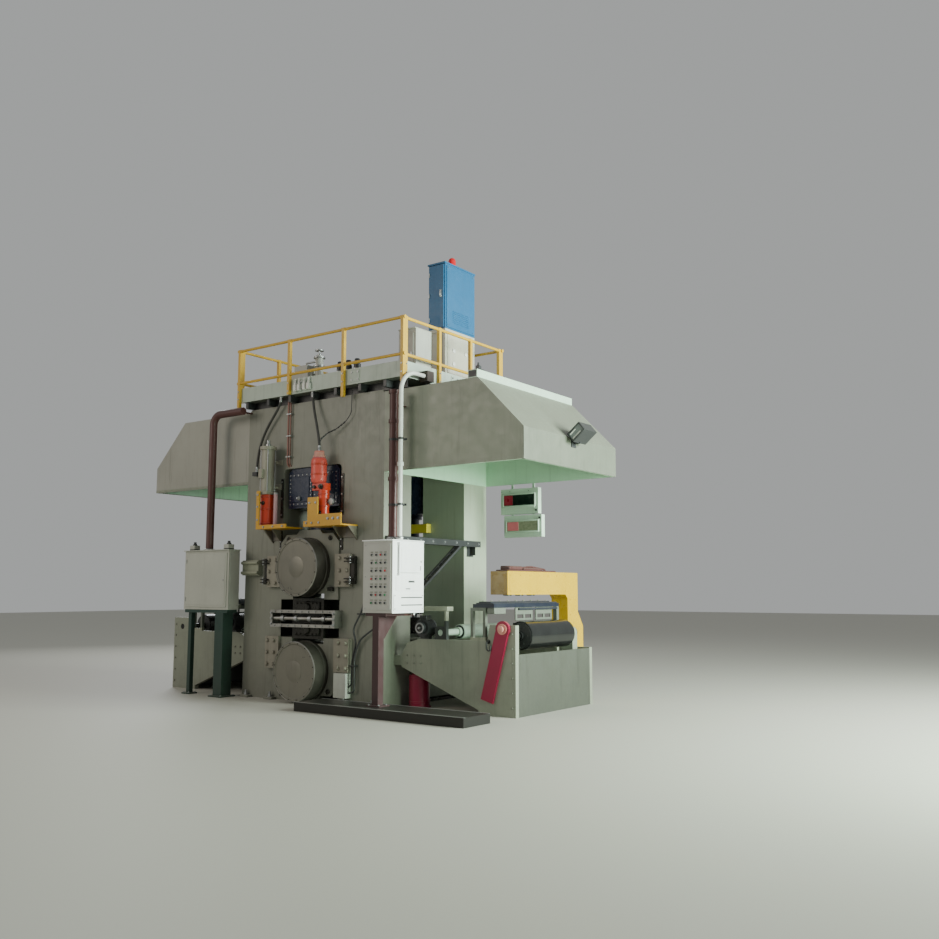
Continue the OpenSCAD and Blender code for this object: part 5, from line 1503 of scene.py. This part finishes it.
@dataclass
class CabinetDress:
    """Panels, hinges, lock and eyes of the roof cabinet, its stand box and its beacon."""

    x0: float = 1.125
    x1: float = 1.45
    y0: float = 0.11
    y1: float = 0.89
    z0: float = 5.65
    z1: float = 6.695

    def panels(self) -> None:
        """Raised panels on three sides and louvres low on the exit side."""
        panels = Shape()
        low, high = self.z0 + 0.03, self.z1 - 0.03
        for x0, x1 in ((self.x1 - 0.002, self.x1 + 0.012), (self.x0 - 0.012, self.x0 + 0.002)):
            panels.block((x0, self.y0 + 0.03, low), (x1, self.y1 - 0.03, high), 0.004)
        panels.block((self.x0 + 0.03, self.y1 - 0.002, low), (self.x1 - 0.03, self.y1 + 0.010,
            high), 0.004)
        for z in spread(self.z0 + 0.12, self.z0 + 0.30, 7):
            panels.block((self.x1 + 0.010, self.y0 + 0.18, z),
                (self.x1 + 0.020, self.y1 - 0.18, z + 0.012), 0.003)
        panels.piece("cabinet_panels", Surface.BLUE, "blue_paint")

    def hardware(self) -> None:
        """Hinge pins, lock, screws and lifting eyes."""
        metal = Shape()
        hinge = (self.x0 + 0.03, self.y0 - 0.026)
        for z in (self.z0 + 0.16, self.z0 + 0.55, self.z1 - 0.16):
            metal.rod((*hinge, z - 0.035), (*hinge, z + 0.035), 0.009, 12)
        metal.block((self.x1 - 0.085, self.y0 - 0.034, self.z0 + 0.50),
            (self.x1 - 0.055, self.y0 - 0.017, self.z0 + 0.62), 0.004)
        metal.block((self.x1 - 0.080, self.y0 - 0.052, self.z0 + 0.52),
            (self.x1 - 0.062, self.y0 - 0.030, self.z0 + 0.60), 0.005)
        metal.bolts([(self.x1 + 0.012, y, z) for y in (self.y0 + 0.06, self.y1 - 0.06)
            for z in (self.z0 + 0.06, self.z1 - 0.06)], Axis.RIGHT, 0.014, False)
        for x in (self.x0 + 0.05, self.x1 - 0.05):
            for y in (self.y0 + 0.06, self.y1 - 0.06):
                metal.lathe(ring_profile(0.008, 0.014, 0.014), (x, y, self.z1 + 0.024), Axis.UP,
                    16)
        metal.piece("cabinet_hardware", Surface.ZINC)

    def stand_box(self) -> None:
        """Covers and pale lamps of the box under the cabinet, and the beacon's ring."""
        base = Shape()
        base.block((1.19, 0.117, 4.96), (1.385, 0.127, 5.57), 0.003)
        base.block((1.433, 0.19, 4.96), (1.443, 0.81, 5.57), 0.003)
        base.piece("stand_box_covers", Surface.BEIGE, "grey_paint")
        spots = Shape()
        for y, z in ((0.34, 5.33), (0.66, 5.33), (0.34, 5.12)):
            spots.lathe(cap_profile(0.035, 0.012, 0.025, 0.018), (1.4425, y, z), Axis.RIGHT, 24)
        spots.piece("stand_box_lamps", Surface.WHITE_BOX, "grey_paint")
        ring = Shape()
        ring.lathe([(0.0625, 0.0), (0.074, 0.0), (0.074, 0.008), (0.0625, 0.014)],
            (1.2875, 0.5, 6.7685), Axis.UP, 32)
        ring.piece("beacon_ring", Surface.ZINC)

    def build(self) -> None:
        """Dresses the cabinet."""
        self.panels()
        self.hardware()
        self.stand_box()


@dataclass
class ControlBoxDress:
    """Buttons, slots, rims, screws and glands of the control box, and its door's skin."""

    x0: float = 1.64
    x1: float = 2.15
    front: float = -1.91
    back: float = -1.26
    z0: float = 1.315
    z1: float = 2.255
    rows: int = 7
    columns: int = 4
    first_button: Flat = (1.80, 2.07)
    pitch: Flat = (0.078, 0.104)

    def push_buttons(self) -> None:
        """Rows of push buttons with rings and blank labels on the front face."""
        rings = Shape()
        kinds = (Surface.BUTTON_BLACK, Surface.BUTTON_RED, Surface.BUTTON_GREEN)
        caps = {kind: Shape() for kind in kinds}
        plates = Shape()
        for row in range(self.rows):
            z = self.first_button[1] - row * self.pitch[1]
            for column in range(self.columns):
                x = self.first_button[0] + column * self.pitch[0]
                rings.lathe(cap_profile(0.019, 0.005, 0.015, 0.009), (x, self.front, z),
                    Axis.FRONT, 20)
                # Mostly black, now and then a red or a green one
                kind = kinds[(0, 0, 1, 0, 2, 0, 0)[(row * 3 + column) % 7]]
                caps[kind].lathe(cap_profile(0.0125, 0.009, 0.010, 0.012),
                    (x, self.front - 0.008, z), Axis.FRONT, 16)
                plates.block((x - 0.022, self.front - 0.003, z + 0.027),
                    (x + 0.022, self.front + 0.001, z + 0.043), 0.0)
        rings.piece("button_rings", Surface.ZINC)
        for surface, shape in caps.items():
            shape.piece(surface.value.name + "_caps", surface)
        plates.piece("button_labels", Surface.LABEL, "grey_paint")

    def side_panel(self) -> None:
        """Slots, raised rims and screws of the side with the small door, and the lid's rim."""
        dark = Shape()
        for z in (1.410, 1.508):
            dark.block((self.x1 + 0.006, -1.735, z), (self.x1 + 0.010, -1.295, z + 0.014), 0.0)
        dark.block((self.x1 + 0.003, -1.585, 1.710), (self.x1 + 0.009, -1.460, 1.735), 0.003)
        dark.block((self.x1 + 0.003, -1.64, 1.622), (self.x1 + 0.008, -1.55, 1.634), 0.0)
        dark.piece("side_slots", Surface.DARK)
        rim = Shape()
        rim.block((self.x1 - 0.002, -1.88, 1.345), (self.x1 + 0.008, -1.28, 1.56), 0.003)
        rim.block((self.x1 - 0.002, -1.835, 1.60), (self.x1 + 0.006, -1.32, 1.80), 0.003)
        rim.block((self.x0 - 0.014, self.front - 0.01, self.z1 - 0.002),
            (self.x1 + 0.014, self.back, self.z1 + 0.014), 0.004)
        rim.piece("box_rims", Surface.CONTROL, "grey_paint")
        screws = Shape()
        screws.bolts([(self.x1 + 0.008, y, z) for y in (-1.86, -1.30) for z in (1.37, 1.54)],
            Axis.RIGHT, 0.012, False)
        screws.bolts([(x, self.front, z) for x in (1.69, 2.10) for z in (1.375, 1.785, 2.20)],
            Axis.FRONT, 0.012, False)
        screws.piece("box_screws", Surface.ZINC)

    def door_details(self) -> None:
        """The skin and lock of the small door, which swing with it."""
        leaf = Shape()
        leaf.block((2.1765, -1.755, 1.87), (2.181, -1.375, 2.17), 0.002)
        leaf.piece("door_skin", Surface.CONTROL, "grey_paint", "control_box_door")
        lock = Shape()
        lock.lathe(cap_profile(0.014, 0.008, 0.006, 0.010), (2.1765, -1.352, 1.99), Axis.RIGHT, 20)
        lock.piece("door_lock", Surface.ZINC, body="control_box_door")

    def base(self) -> None:
        """Cable glands under the box and bolts of its post."""
        glands = Shape()
        for x in (1.655, 2.06, 2.10):
            glands.rod((x, -1.40, self.z0 - 0.03), (x, -1.40, self.z0 + 0.002), 0.014, 8)
        glands.bolts([(x, y, 0.136) for x in (1.768, 1.933) for y in (-1.90, -1.755)], Axis.UP,
            0.022)
        glands.piece("box_glands", Surface.ZINC)

    def build(self) -> None:
        """Dresses the control box."""
        self.push_buttons()
        self.side_panel()
        self.door_details()
        self.base()


@dataclass
class TerminalBoxDress:
    """Door, side cover, hinges, screws and glands of the entry terminal box."""

    x0: float = -2.45
    x1: float = -1.40
    front: float = -1.614
    z0: float = 1.315
    z1: float = 2.225

    def build(self) -> None:
        """Builds the door with its hardware, the side cover and the feet's bolts."""
        doors = Shape()
        doors.block((self.x0 + 0.07, self.front - 0.005, self.z0 + 0.07),
            (self.x1 - 0.07, self.front + 0.002, self.z1 - 0.07), 0.003)
        doors.block((self.x1 - 0.002, -1.575, self.z0 + 0.04),
            (self.x1 + 0.006, -1.415, self.z1 - 0.04), 0.003)
        doors.piece("terminal_doors", Surface.TERMINAL, "grey_paint")
        metal = Shape()
        for z in (self.z0 + 0.16, self.z1 - 0.16):
            metal.rod((self.x0 + 0.055, self.front - 0.004, z - 0.03),
                (self.x0 + 0.055, self.front - 0.004, z + 0.03), 0.007, 12)
        metal.lathe(cap_profile(0.014, 0.008, 0.006, 0.010), (self.x1 - 0.10, self.front - 0.005,
            1.77), Axis.FRONT, 20)
        metal.bolts([(self.x1 + 0.006, y, z) for y in (-1.56, -1.43)
            for z in (self.z0 + 0.07, self.z1 - 0.07)], Axis.RIGHT, 0.012, False)
        metal.bolts([(x, y, 0.02) for x in (-1.725, -1.485) for y in (-1.615, -1.375)], Axis.UP,
            0.024)
        metal.bolts([(x, y, 0.02) for x in (-2.435, -2.315) for y in (-1.555, -1.435)], Axis.UP,
            0.024)
        metal.piece("terminal_hardware", Surface.ZINC)
        glands = Shape()
        for x in (-2.362, -1.543):
            glands.lathe(port_profile(0.036, 0.02, 0.022, 0.028, 0.055), (x, -1.49, 2.321),
                Axis.UP, 16)
            glands.block((x - 0.058, -1.548, 2.24), (x + 0.058, -1.432, 2.262), 0.004)
        for x in spread(-2.22, -1.80, 5):
            glands.rod((x, -1.41, self.z0 - 0.03), (x, -1.41, self.z0 + 0.002), 0.014, 8)
        glands.piece("terminal_glands", Surface.DARK)


@dataclass
class TableDress:
    """Bearings, roll end discs, guides, bolts and motors of the two tables."""

    side_y: float = 1.0
    roll_x: float = 3.24
    roll_z: float = 1.01
    table_x: float = 2.23
    table_z: float = 1.04

    def bearings(self) -> None:
        """Round bearing flanges on the drive side: pedestals carry the deflector rolls, side
        plates the table rolls."""
        flanges = Shape()
        bolts = Shape()
        for x, y, z, r in ((self.roll_x, 0.79, self.roll_z, 0.086),
                (self.table_x, self.side_y, self.table_z, 0.078)):
            flanges.lathe([(0.046, 0.0), (r, 0.0), (r, 0.018), (r * 0.72, 0.026),
                (r * 0.66, 0.052), (0.0, 0.052)], (x, y, z), Axis.BACK, 32)
            bolts.bolts(ring_points((x, y + 0.018, z), r * 0.86, 6, Axis.BACK), Axis.BACK, 0.016,
                False)
        flanges.mirrored().piece("drive_side_bearing_flanges", Surface.DARK)
        bolts.mirrored().piece("drive_side_bearing_bolts", Surface.ZINC)

    def roll_ends(self) -> None:
        """End discs with bolts on the deflector rolls and table rolls; those on the exit side turn
        with their rolls.
        """
        for name, x, z, radius, body in (
                ("exit_deflector", self.roll_x, self.roll_z, 0.19, "deflector_roll"),
                ("exit_table_roller", self.table_x, self.table_z, 0.10, "table_roll"),
                ("entry_deflector", -self.roll_x, self.roll_z, 0.19, STAND),
                ("entry_table_roller", -self.table_x, self.table_z, 0.10, STAND)):
            rim = radius * 0.9
            discs = Shape()
            for side, way in ((-1, Axis.FRONT), (1, Axis.BACK)):
                discs.lathe([(0.066, 0.0), (rim, 0.0), (rim, 0.006), (0.066, 0.010)],
                    (x, side * 0.5605, z), way, 48)
                discs.bolts(ring_points((x, side * 0.568, z), (0.066 + rim) / 2, 6, way), way,
                    0.016, False)
            discs.piece(name + "_discs", Surface.DARK, body=body)

    def guides(self) -> None:
        """Navy cross plates in two layers, pale guide plates with holes and the tables' bolts."""
        navy = Shape()
        navy.block((2.83, -1.0, 1.428), (3.10, 0.62, 1.446), 0.004)
        navy.block((2.86, -0.98, 1.446), (3.05, 0.50, 1.462), 0.004)
        navy.block((3.04, -0.40, 1.345), (3.125, 0.60, 1.372), 0.004)
        navy.mirrored().piece("cross_guide_plates", Surface.GUIDE_NAVY, "navy_paint")
        pale = Shape()
        pale.block((3.0, -0.99, 1.30), (3.118, -0.72, 1.379), 0.005)
        # Slotted plates between the cross guide and the roll: strips over and under each slot
        for y0, y1 in ((-0.46, -0.03), (0.05, 0.48)):
            pale.block((3.085, y0, 1.285), (3.10, y1, 1.382), 0.003)
            pale.block((3.085, y0, 1.205), (3.10, y1, 1.235), 0.003)
            for y in (y0, (y0 + y1) / 2 - 0.02, y1 - 0.04):
                pale.block((3.086, y, 1.233), (3.099, y + 0.04, 1.287), 0.0)
        pale.block((1.62, -0.9, 0.93), (1.74, 0.9, 0.952), 0.004)
        pale.mirrored().piece("guide_plates", Surface.GUIDE, "pale_green_paint")
        metal = Shape()
        metal.bolts([(x, y, 1.462) for x in (2.89, 3.02) for y in spread(-0.92, 0.44, 8)], Axis.UP,
            0.02, False)
        metal.bolts([(x, -self.side_y, z) for x in (1.66, 1.78, 1.90) for z in (0.62, 0.72)],
            Axis.FRONT, 0.022)
        metal.bolts([(3.40, -self.side_y, z) for z in spread(0.12, 1.05, 6)], Axis.FRONT, 0.022)
        metal.mirrored().piece("table_bolts", Surface.MILL)
        hook = Shape()
        # Round holding hook beside the crimson bar
        hook.pipe(((3.03, -0.998, 0.945), (3.03, -1.045, 0.945), (3.03, -1.045, 0.84),
            (3.09, -1.045, 0.83), (3.09, -1.045, 0.90)), 0.012, 0.03)
        hook.bolts([(3.03, -1.0, 0.945)], Axis.FRONT, 0.04)
        hook.piece("table_hook", Surface.DARK)

    def motor(self) -> None:
        """The dark motor's cooling fins, cap ring and terminal box beside the guide head."""
        fins = Shape()
        for y in spread(-1.045, -0.90, 7):
            fins.lathe(ring_profile(0.1145, 0.124, 0.008, -0.004), (1.96, y, 1.10), Axis.BACK, 40)
        fins.block((1.90, -1.03, 1.20), (2.02, -0.93, 1.27), 0.006)
        fins.mirrored().piece("motor_fins", Surface.DARK)
        ring = Shape()
        ring.lathe(ring_profile(0.052, 0.072, 0.008), (1.96, -1.0995, 1.10), Axis.FRONT, 32)
        ring.lathe(ring_profile(0.0, 0.016, 0.03), (1.96, -1.0995, 1.10), Axis.FRONT, 16)
        ring.mirrored().piece("motor_ring", Surface.ZINC, "ground_steel")

    def build(self) -> None:
        """Dresses both tables."""
        self.bearings()
        self.roll_ends()
        self.guides()
        self.motor()


@dataclass
class GaugeDress:
    """Covers, windows and tray of the strip gauge, and trims of the crimson pieces."""

    x0: float = 2.72
    x1: float = 3.0
    nose: float = -0.5
    z0: float = 1.55
    z1: float = 1.87
    lift: Flat = (1.68, -0.75)

    def covers(self) -> None:
        """Raised covers on the arm, nose and leg, with their screws."""
        covers = Shape()
        face, edge = self.x1 + 0.004, self.x1 - 0.002
        covers.block((edge, -0.46, 1.585), (face, 1.06, 1.835), 0.002)
        covers.block((self.x0 + 0.04, self.nose - 0.004, 1.59),
            (self.x1 - 0.04, self.nose + 0.002, 1.83), 0.002)
        covers.block((edge, 1.14, 0.98), (face, 1.36, 1.50), 0.002)
        covers.piece("gauge_covers", Surface.GAUGE, "yellow_paint")
        metal = Shape()
        metal.bolts([(face, y, z) for y in spread(-0.43, 1.03, 7) for z in (1.605, 1.815)],
            Axis.RIGHT, 0.012, False)
        metal.bolts([(x, self.nose - 0.004, z) for x in (2.785, 2.935) for z in (1.61, 1.81)],
            Axis.FRONT, 0.012, False)
        metal.bolts([(face, y, z) for y in (1.165, 1.335) for z in (1.01, 1.25, 1.47)], Axis.RIGHT,
            0.012, False)
        metal.piece("gauge_screws", Surface.GAUGE)

    def windows(self) -> None:
        """Glass windows under the arm."""
        ports = Shape()
        for y in (-0.30, 0.0, 0.30):
            ports.lathe(cap_profile(0.06, 0.012, 0.045, 0.016), (2.86, y, self.z0), Axis.DOWN, 28)
        ports.piece("gauge_windows", Surface.SIGHT)

    def tray(self) -> None:
        """The tray on the arm with its two boxes and a formed tube."""
        tray = Shape()
        tray.block((2.75, -0.42, self.z1 - 0.002), (2.97, 0.82, self.z1 + 0.022), 0.006)
        tray.block((2.78, -0.36, self.z1 + 0.02), (2.94, -0.02, self.z1 + 0.075), 0.012)
        tray.block((2.79, 0.02, self.z1 + 0.02), (2.93, 0.52, self.z1 + 0.055), 0.012)
        tray.pipe([(2.86, y, self.z1 + dz) for y, dz in ((-0.02, 0.05), (0.30, 0.075),
            (0.68, 0.04), (0.70, 0.01))], 0.014, 0.05)
        tray.piece("gauge_tray", Surface.MAROON, "maroon_paint")

    def lever(self) -> None:
        """The pivot of the crimson lever bar."""
        pivot = Shape()
        pivot.lathe(cap_profile(0.042, 0.014, 0.03, 0.02), (3.27, -1.0660, 1.11), Axis.FRONT, 24)
        pivot.lathe(ring_profile(0.0255, 0.07, 0.012), (3.27, -1.0363, 1.11), Axis.FRONT, 32)
        pivot.piece("lever_pivot", Surface.CAP_PINK, "crimson_paint")

    def lift_cylinder(self) -> None:
        """Bright rod sleeve, gland and rings of the crimson cylinder."""
        x, y = self.lift
        sleeve = Shape()
        sleeve.lathe(ring_profile(0.0605, 0.0615, 0.118), (x, y, 0.441), Axis.UP, 40)
        sleeve.piece("lift_rod_sleeve", Surface.BRIGHT, "ground_steel")
        glands = Shape()
        glands.lathe([(0.062, 0.0), (0.11, 0.0), (0.11, 0.012), (0.095, 0.024), (0.062, 0.024)],
            (x, y, 0.439), Axis.UP, 40)
        for z in (0.38, 0.06):
            glands.lathe(band_profile(0.145, 0.152, 0.003, 0.025), (x, y, z), Axis.UP, 40)
        glands.piece("lift_cylinder_rings", Surface.RED, "crimson_paint")

    def build(self) -> None:
        """Dresses the gauge and the crimson pieces."""
        self.covers()
        self.windows()
        self.tray()
        self.lever()
        self.lift_cylinder()


@dataclass
class ReadoutDress:
    """Screens, lit bars, bezels and knobs of the two readouts, and the floodlight's parts."""

    face: float = 1.136
    bezel: float = 0.015
    upper: tuple[float, float, float, float] = (1.84, 2.41, 2.92, 3.10)
    lower: tuple[float, float, float, float] = (1.90, 2.47, 2.52, 2.68)

    def screens(self) -> None:
        """Glass, bars and bezels: the upper readout dark, the lower one pale, its glass a painted
        reflection of glare.
        """
        rims = Shape()
        for name, (x0, x1, z0, z1), glass, bar, share in (
                ("upper", self.upper, Surface.SCREEN, Surface.BAR_RED, 0.3),
                ("lower", self.lower, Surface.SCREEN_PALE, Surface.BAR_PINK, 0.38)):
            pane = Shape().block((x0 + 0.008, self.face - 0.006, z0 + 0.008),
                (x1 - 0.008, self.face + 0.002, z1 - 0.008), 0.003)
            pane.piece(name + "_readout_glass", glass)
            strip = Shape().block((x0 + 0.012, self.face - 0.009, z0 + 0.014),
                (x0 + share * (x1 - x0), self.face - 0.004, z1 - 0.014), 0.002)
            strip.piece(name + "_readout_bar", bar, "beacon_red")
            left, right = x0 - self.bezel, x1 + self.bezel
            for a, b, low, high in ((left, right, z1, z1 + self.bezel),
                    (left, right, z0 - self.bezel, z0), (left, x0, z0, z1), (x1, right, z0, z1)):
                rims.block((a, self.face - 0.010, low), (b, self.face + 0.014, high), 0.003)
        rims.piece("readout_bezels", Surface.PALE_GREEN, "pale_green_paint")
        knobs = Shape()
        for z, x in ((2.84, 2.44), (2.72, 2.50)):
            knobs.lathe(ring_profile(0.0, 0.016, 0.02), (x, 1.149, z), Axis.FRONT, 16)
        knobs.bolts([(x, 1.148, 3.15) for x in (1.80, 1.95, 2.30)], Axis.FRONT, 0.012, False)
        knobs.piece("readout_knobs", Surface.DARK)

    def floodlight(self) -> None:
        """Glass, lamp tube, rim and fins of the floodlight, in its tilted frame."""
        turn = Matrix.Translation((3.904, 0.0, 3.741)) @ Matrix.Rotation(math.radians(50), 4, "Y")
        glass = Shape().block((-0.060, -0.169, -0.105), (0.060, -0.1645, 0.105), 0.002)
        glass.bm.transform(turn)
        glass.piece("floodlight_glass", Surface.LAMP_GLASS, "grey_paint")
        tube = Shape().rod((-0.036, -0.1705, -0.085), (-0.036, -0.1705, 0.02), 0.008, 12)
        tube.block((0.028, -0.171, -0.098), (0.046, -0.168, 0.06), 0.001)
        tube.bm.transform(turn)
        tube.piece("floodlight_tube", Surface.WHITE_BOX, "grey_paint")
        rim = Shape()
        for x in (-0.073, 0.059):
            rim.block((x, -0.180, -0.118), (x + 0.014, -0.163, 0.118), 0.002)
        for z in (-0.118, 0.104):
            rim.block((-0.060, -0.180, z), (0.060, -0.163, z + 0.014), 0.002)
        for z in spread(-0.09, 0.09, 7):
            rim.block((-0.060, 0.163, z - 0.004), (0.060, 0.186, z + 0.004), 0.0)
        rim.bm.transform(turn)
        rim.piece("floodlight_rim", Surface.DARK)

    def build(self) -> None:
        """Dresses the readouts and the floodlight."""
        self.screens()
        self.floodlight()


@dataclass
class BeamDress:
    """Cleats, bolts and bright rungs of the service beam and its brace."""

    x0: float = 1.42
    x1: float = 1.54
    foot: Flat = (-0.70, 1.50)
    head: Flat = (0.41, 2.28)
    rungs: int = 11

    def build(self) -> None:
        """Builds the beam's trims."""
        bright = Shape()
        for i in range(1, self.rungs + 1):
            t = i / (self.rungs + 1)
            y, z = (a + t * (b - a) for a, b in zip(self.foot, self.head))
            bright.rod((self.x0 + 0.035, y, z), (self.x1 - 0.035, y, z), 0.011, 10)
        bright.bolts([(self.x1, y, 2.325) for y in spread(-1.15, 0.87, 8)], Axis.RIGHT, 0.024)
        bright.piece("brace_rungs", Surface.ZINC)
        cleats = Shape()
        for y in (-1.0, 0.8):
            cleats.block((self.x0 - 0.001, y - 0.08, 2.13), (self.x0 + 0.012, y + 0.08, 2.285),
                0.003)
            cleats.block((self.x0 - 0.001, y - 0.006, 2.15), (self.x0 + 0.11, y + 0.006, 2.285),
                0.003)
        cleats.piece("beam_cleats", Surface.DARK)


@dataclass
class ConduitDress:
    """Clips and locknuts of the conduits, and the nosing of the operator step."""

    def build(self) -> None:
        """Builds the clips and edge trims."""
        rings = Shape()
        for x, y, z, r in ((1.7696, -1.46, 2.305, 0.0595), (-2.006, -1.49, 2.239, 0.0595),
                (1.93, -1.50, 2.305, 0.0295)):
            rings.lathe([(r, 0.0), (r + 0.026, 0.0), (r + 0.026, 0.014), (r + 0.006, 0.028),
                (r, 0.028)], (x, y, z), Axis.UP, 32)
        rings.piece("conduit_locknuts", Surface.ZINC)
        clips = Shape()
        for z in (2.75, 3.65):
            clips.block((1.70, -1.408, z), (1.96, -1.396, z + 0.03), 0.003)
            clips.lathe(ring_profile(0.0595, 0.0655, 0.03), (1.7696, -1.46, z), Axis.UP, 32)
            clips.lathe(ring_profile(0.0295, 0.036, 0.03), (1.93, -1.50, z), Axis.UP, 32)
            clips.block((1.922, -1.475, z + 0.005), (1.938, -1.40, z + 0.025), 0.002)
        clips.piece("conduit_clips", Surface.DARK)
        edge = Shape()
        edge.block((0.62, -2.12, 0.119), (3.45, -2.075, 0.1225), 0.001)
        edge.block((0.62, -1.595, 0.119), (3.45, -1.571, 0.1225), 0.001)
        edge.piece("step_nosing", Surface.ZINC)


def main() -> None:
    """Builds the studio, coats the nodes and dresses the stand in order."""
    logging.basicConfig(level=logging.INFO, format="%(name)s %(message)s")
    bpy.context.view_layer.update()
    studio = Studio()
    studio.camera()
    Hoses().build()
    NodeCoats().build()
    for part in (StandDress(), PressDress(), HoodDress(), PlatformDress(), CabinetDress(),
            ControlBoxDress(), TerminalBoxDress(), TableDress(), GaugeDress(), ReadoutDress(),
            BeamDress(), ConduitDress()):
        part.build()
        LOG.info("%s done", type(part).__name__)
    studio.build()


if __name__ == "__main__":
    main()
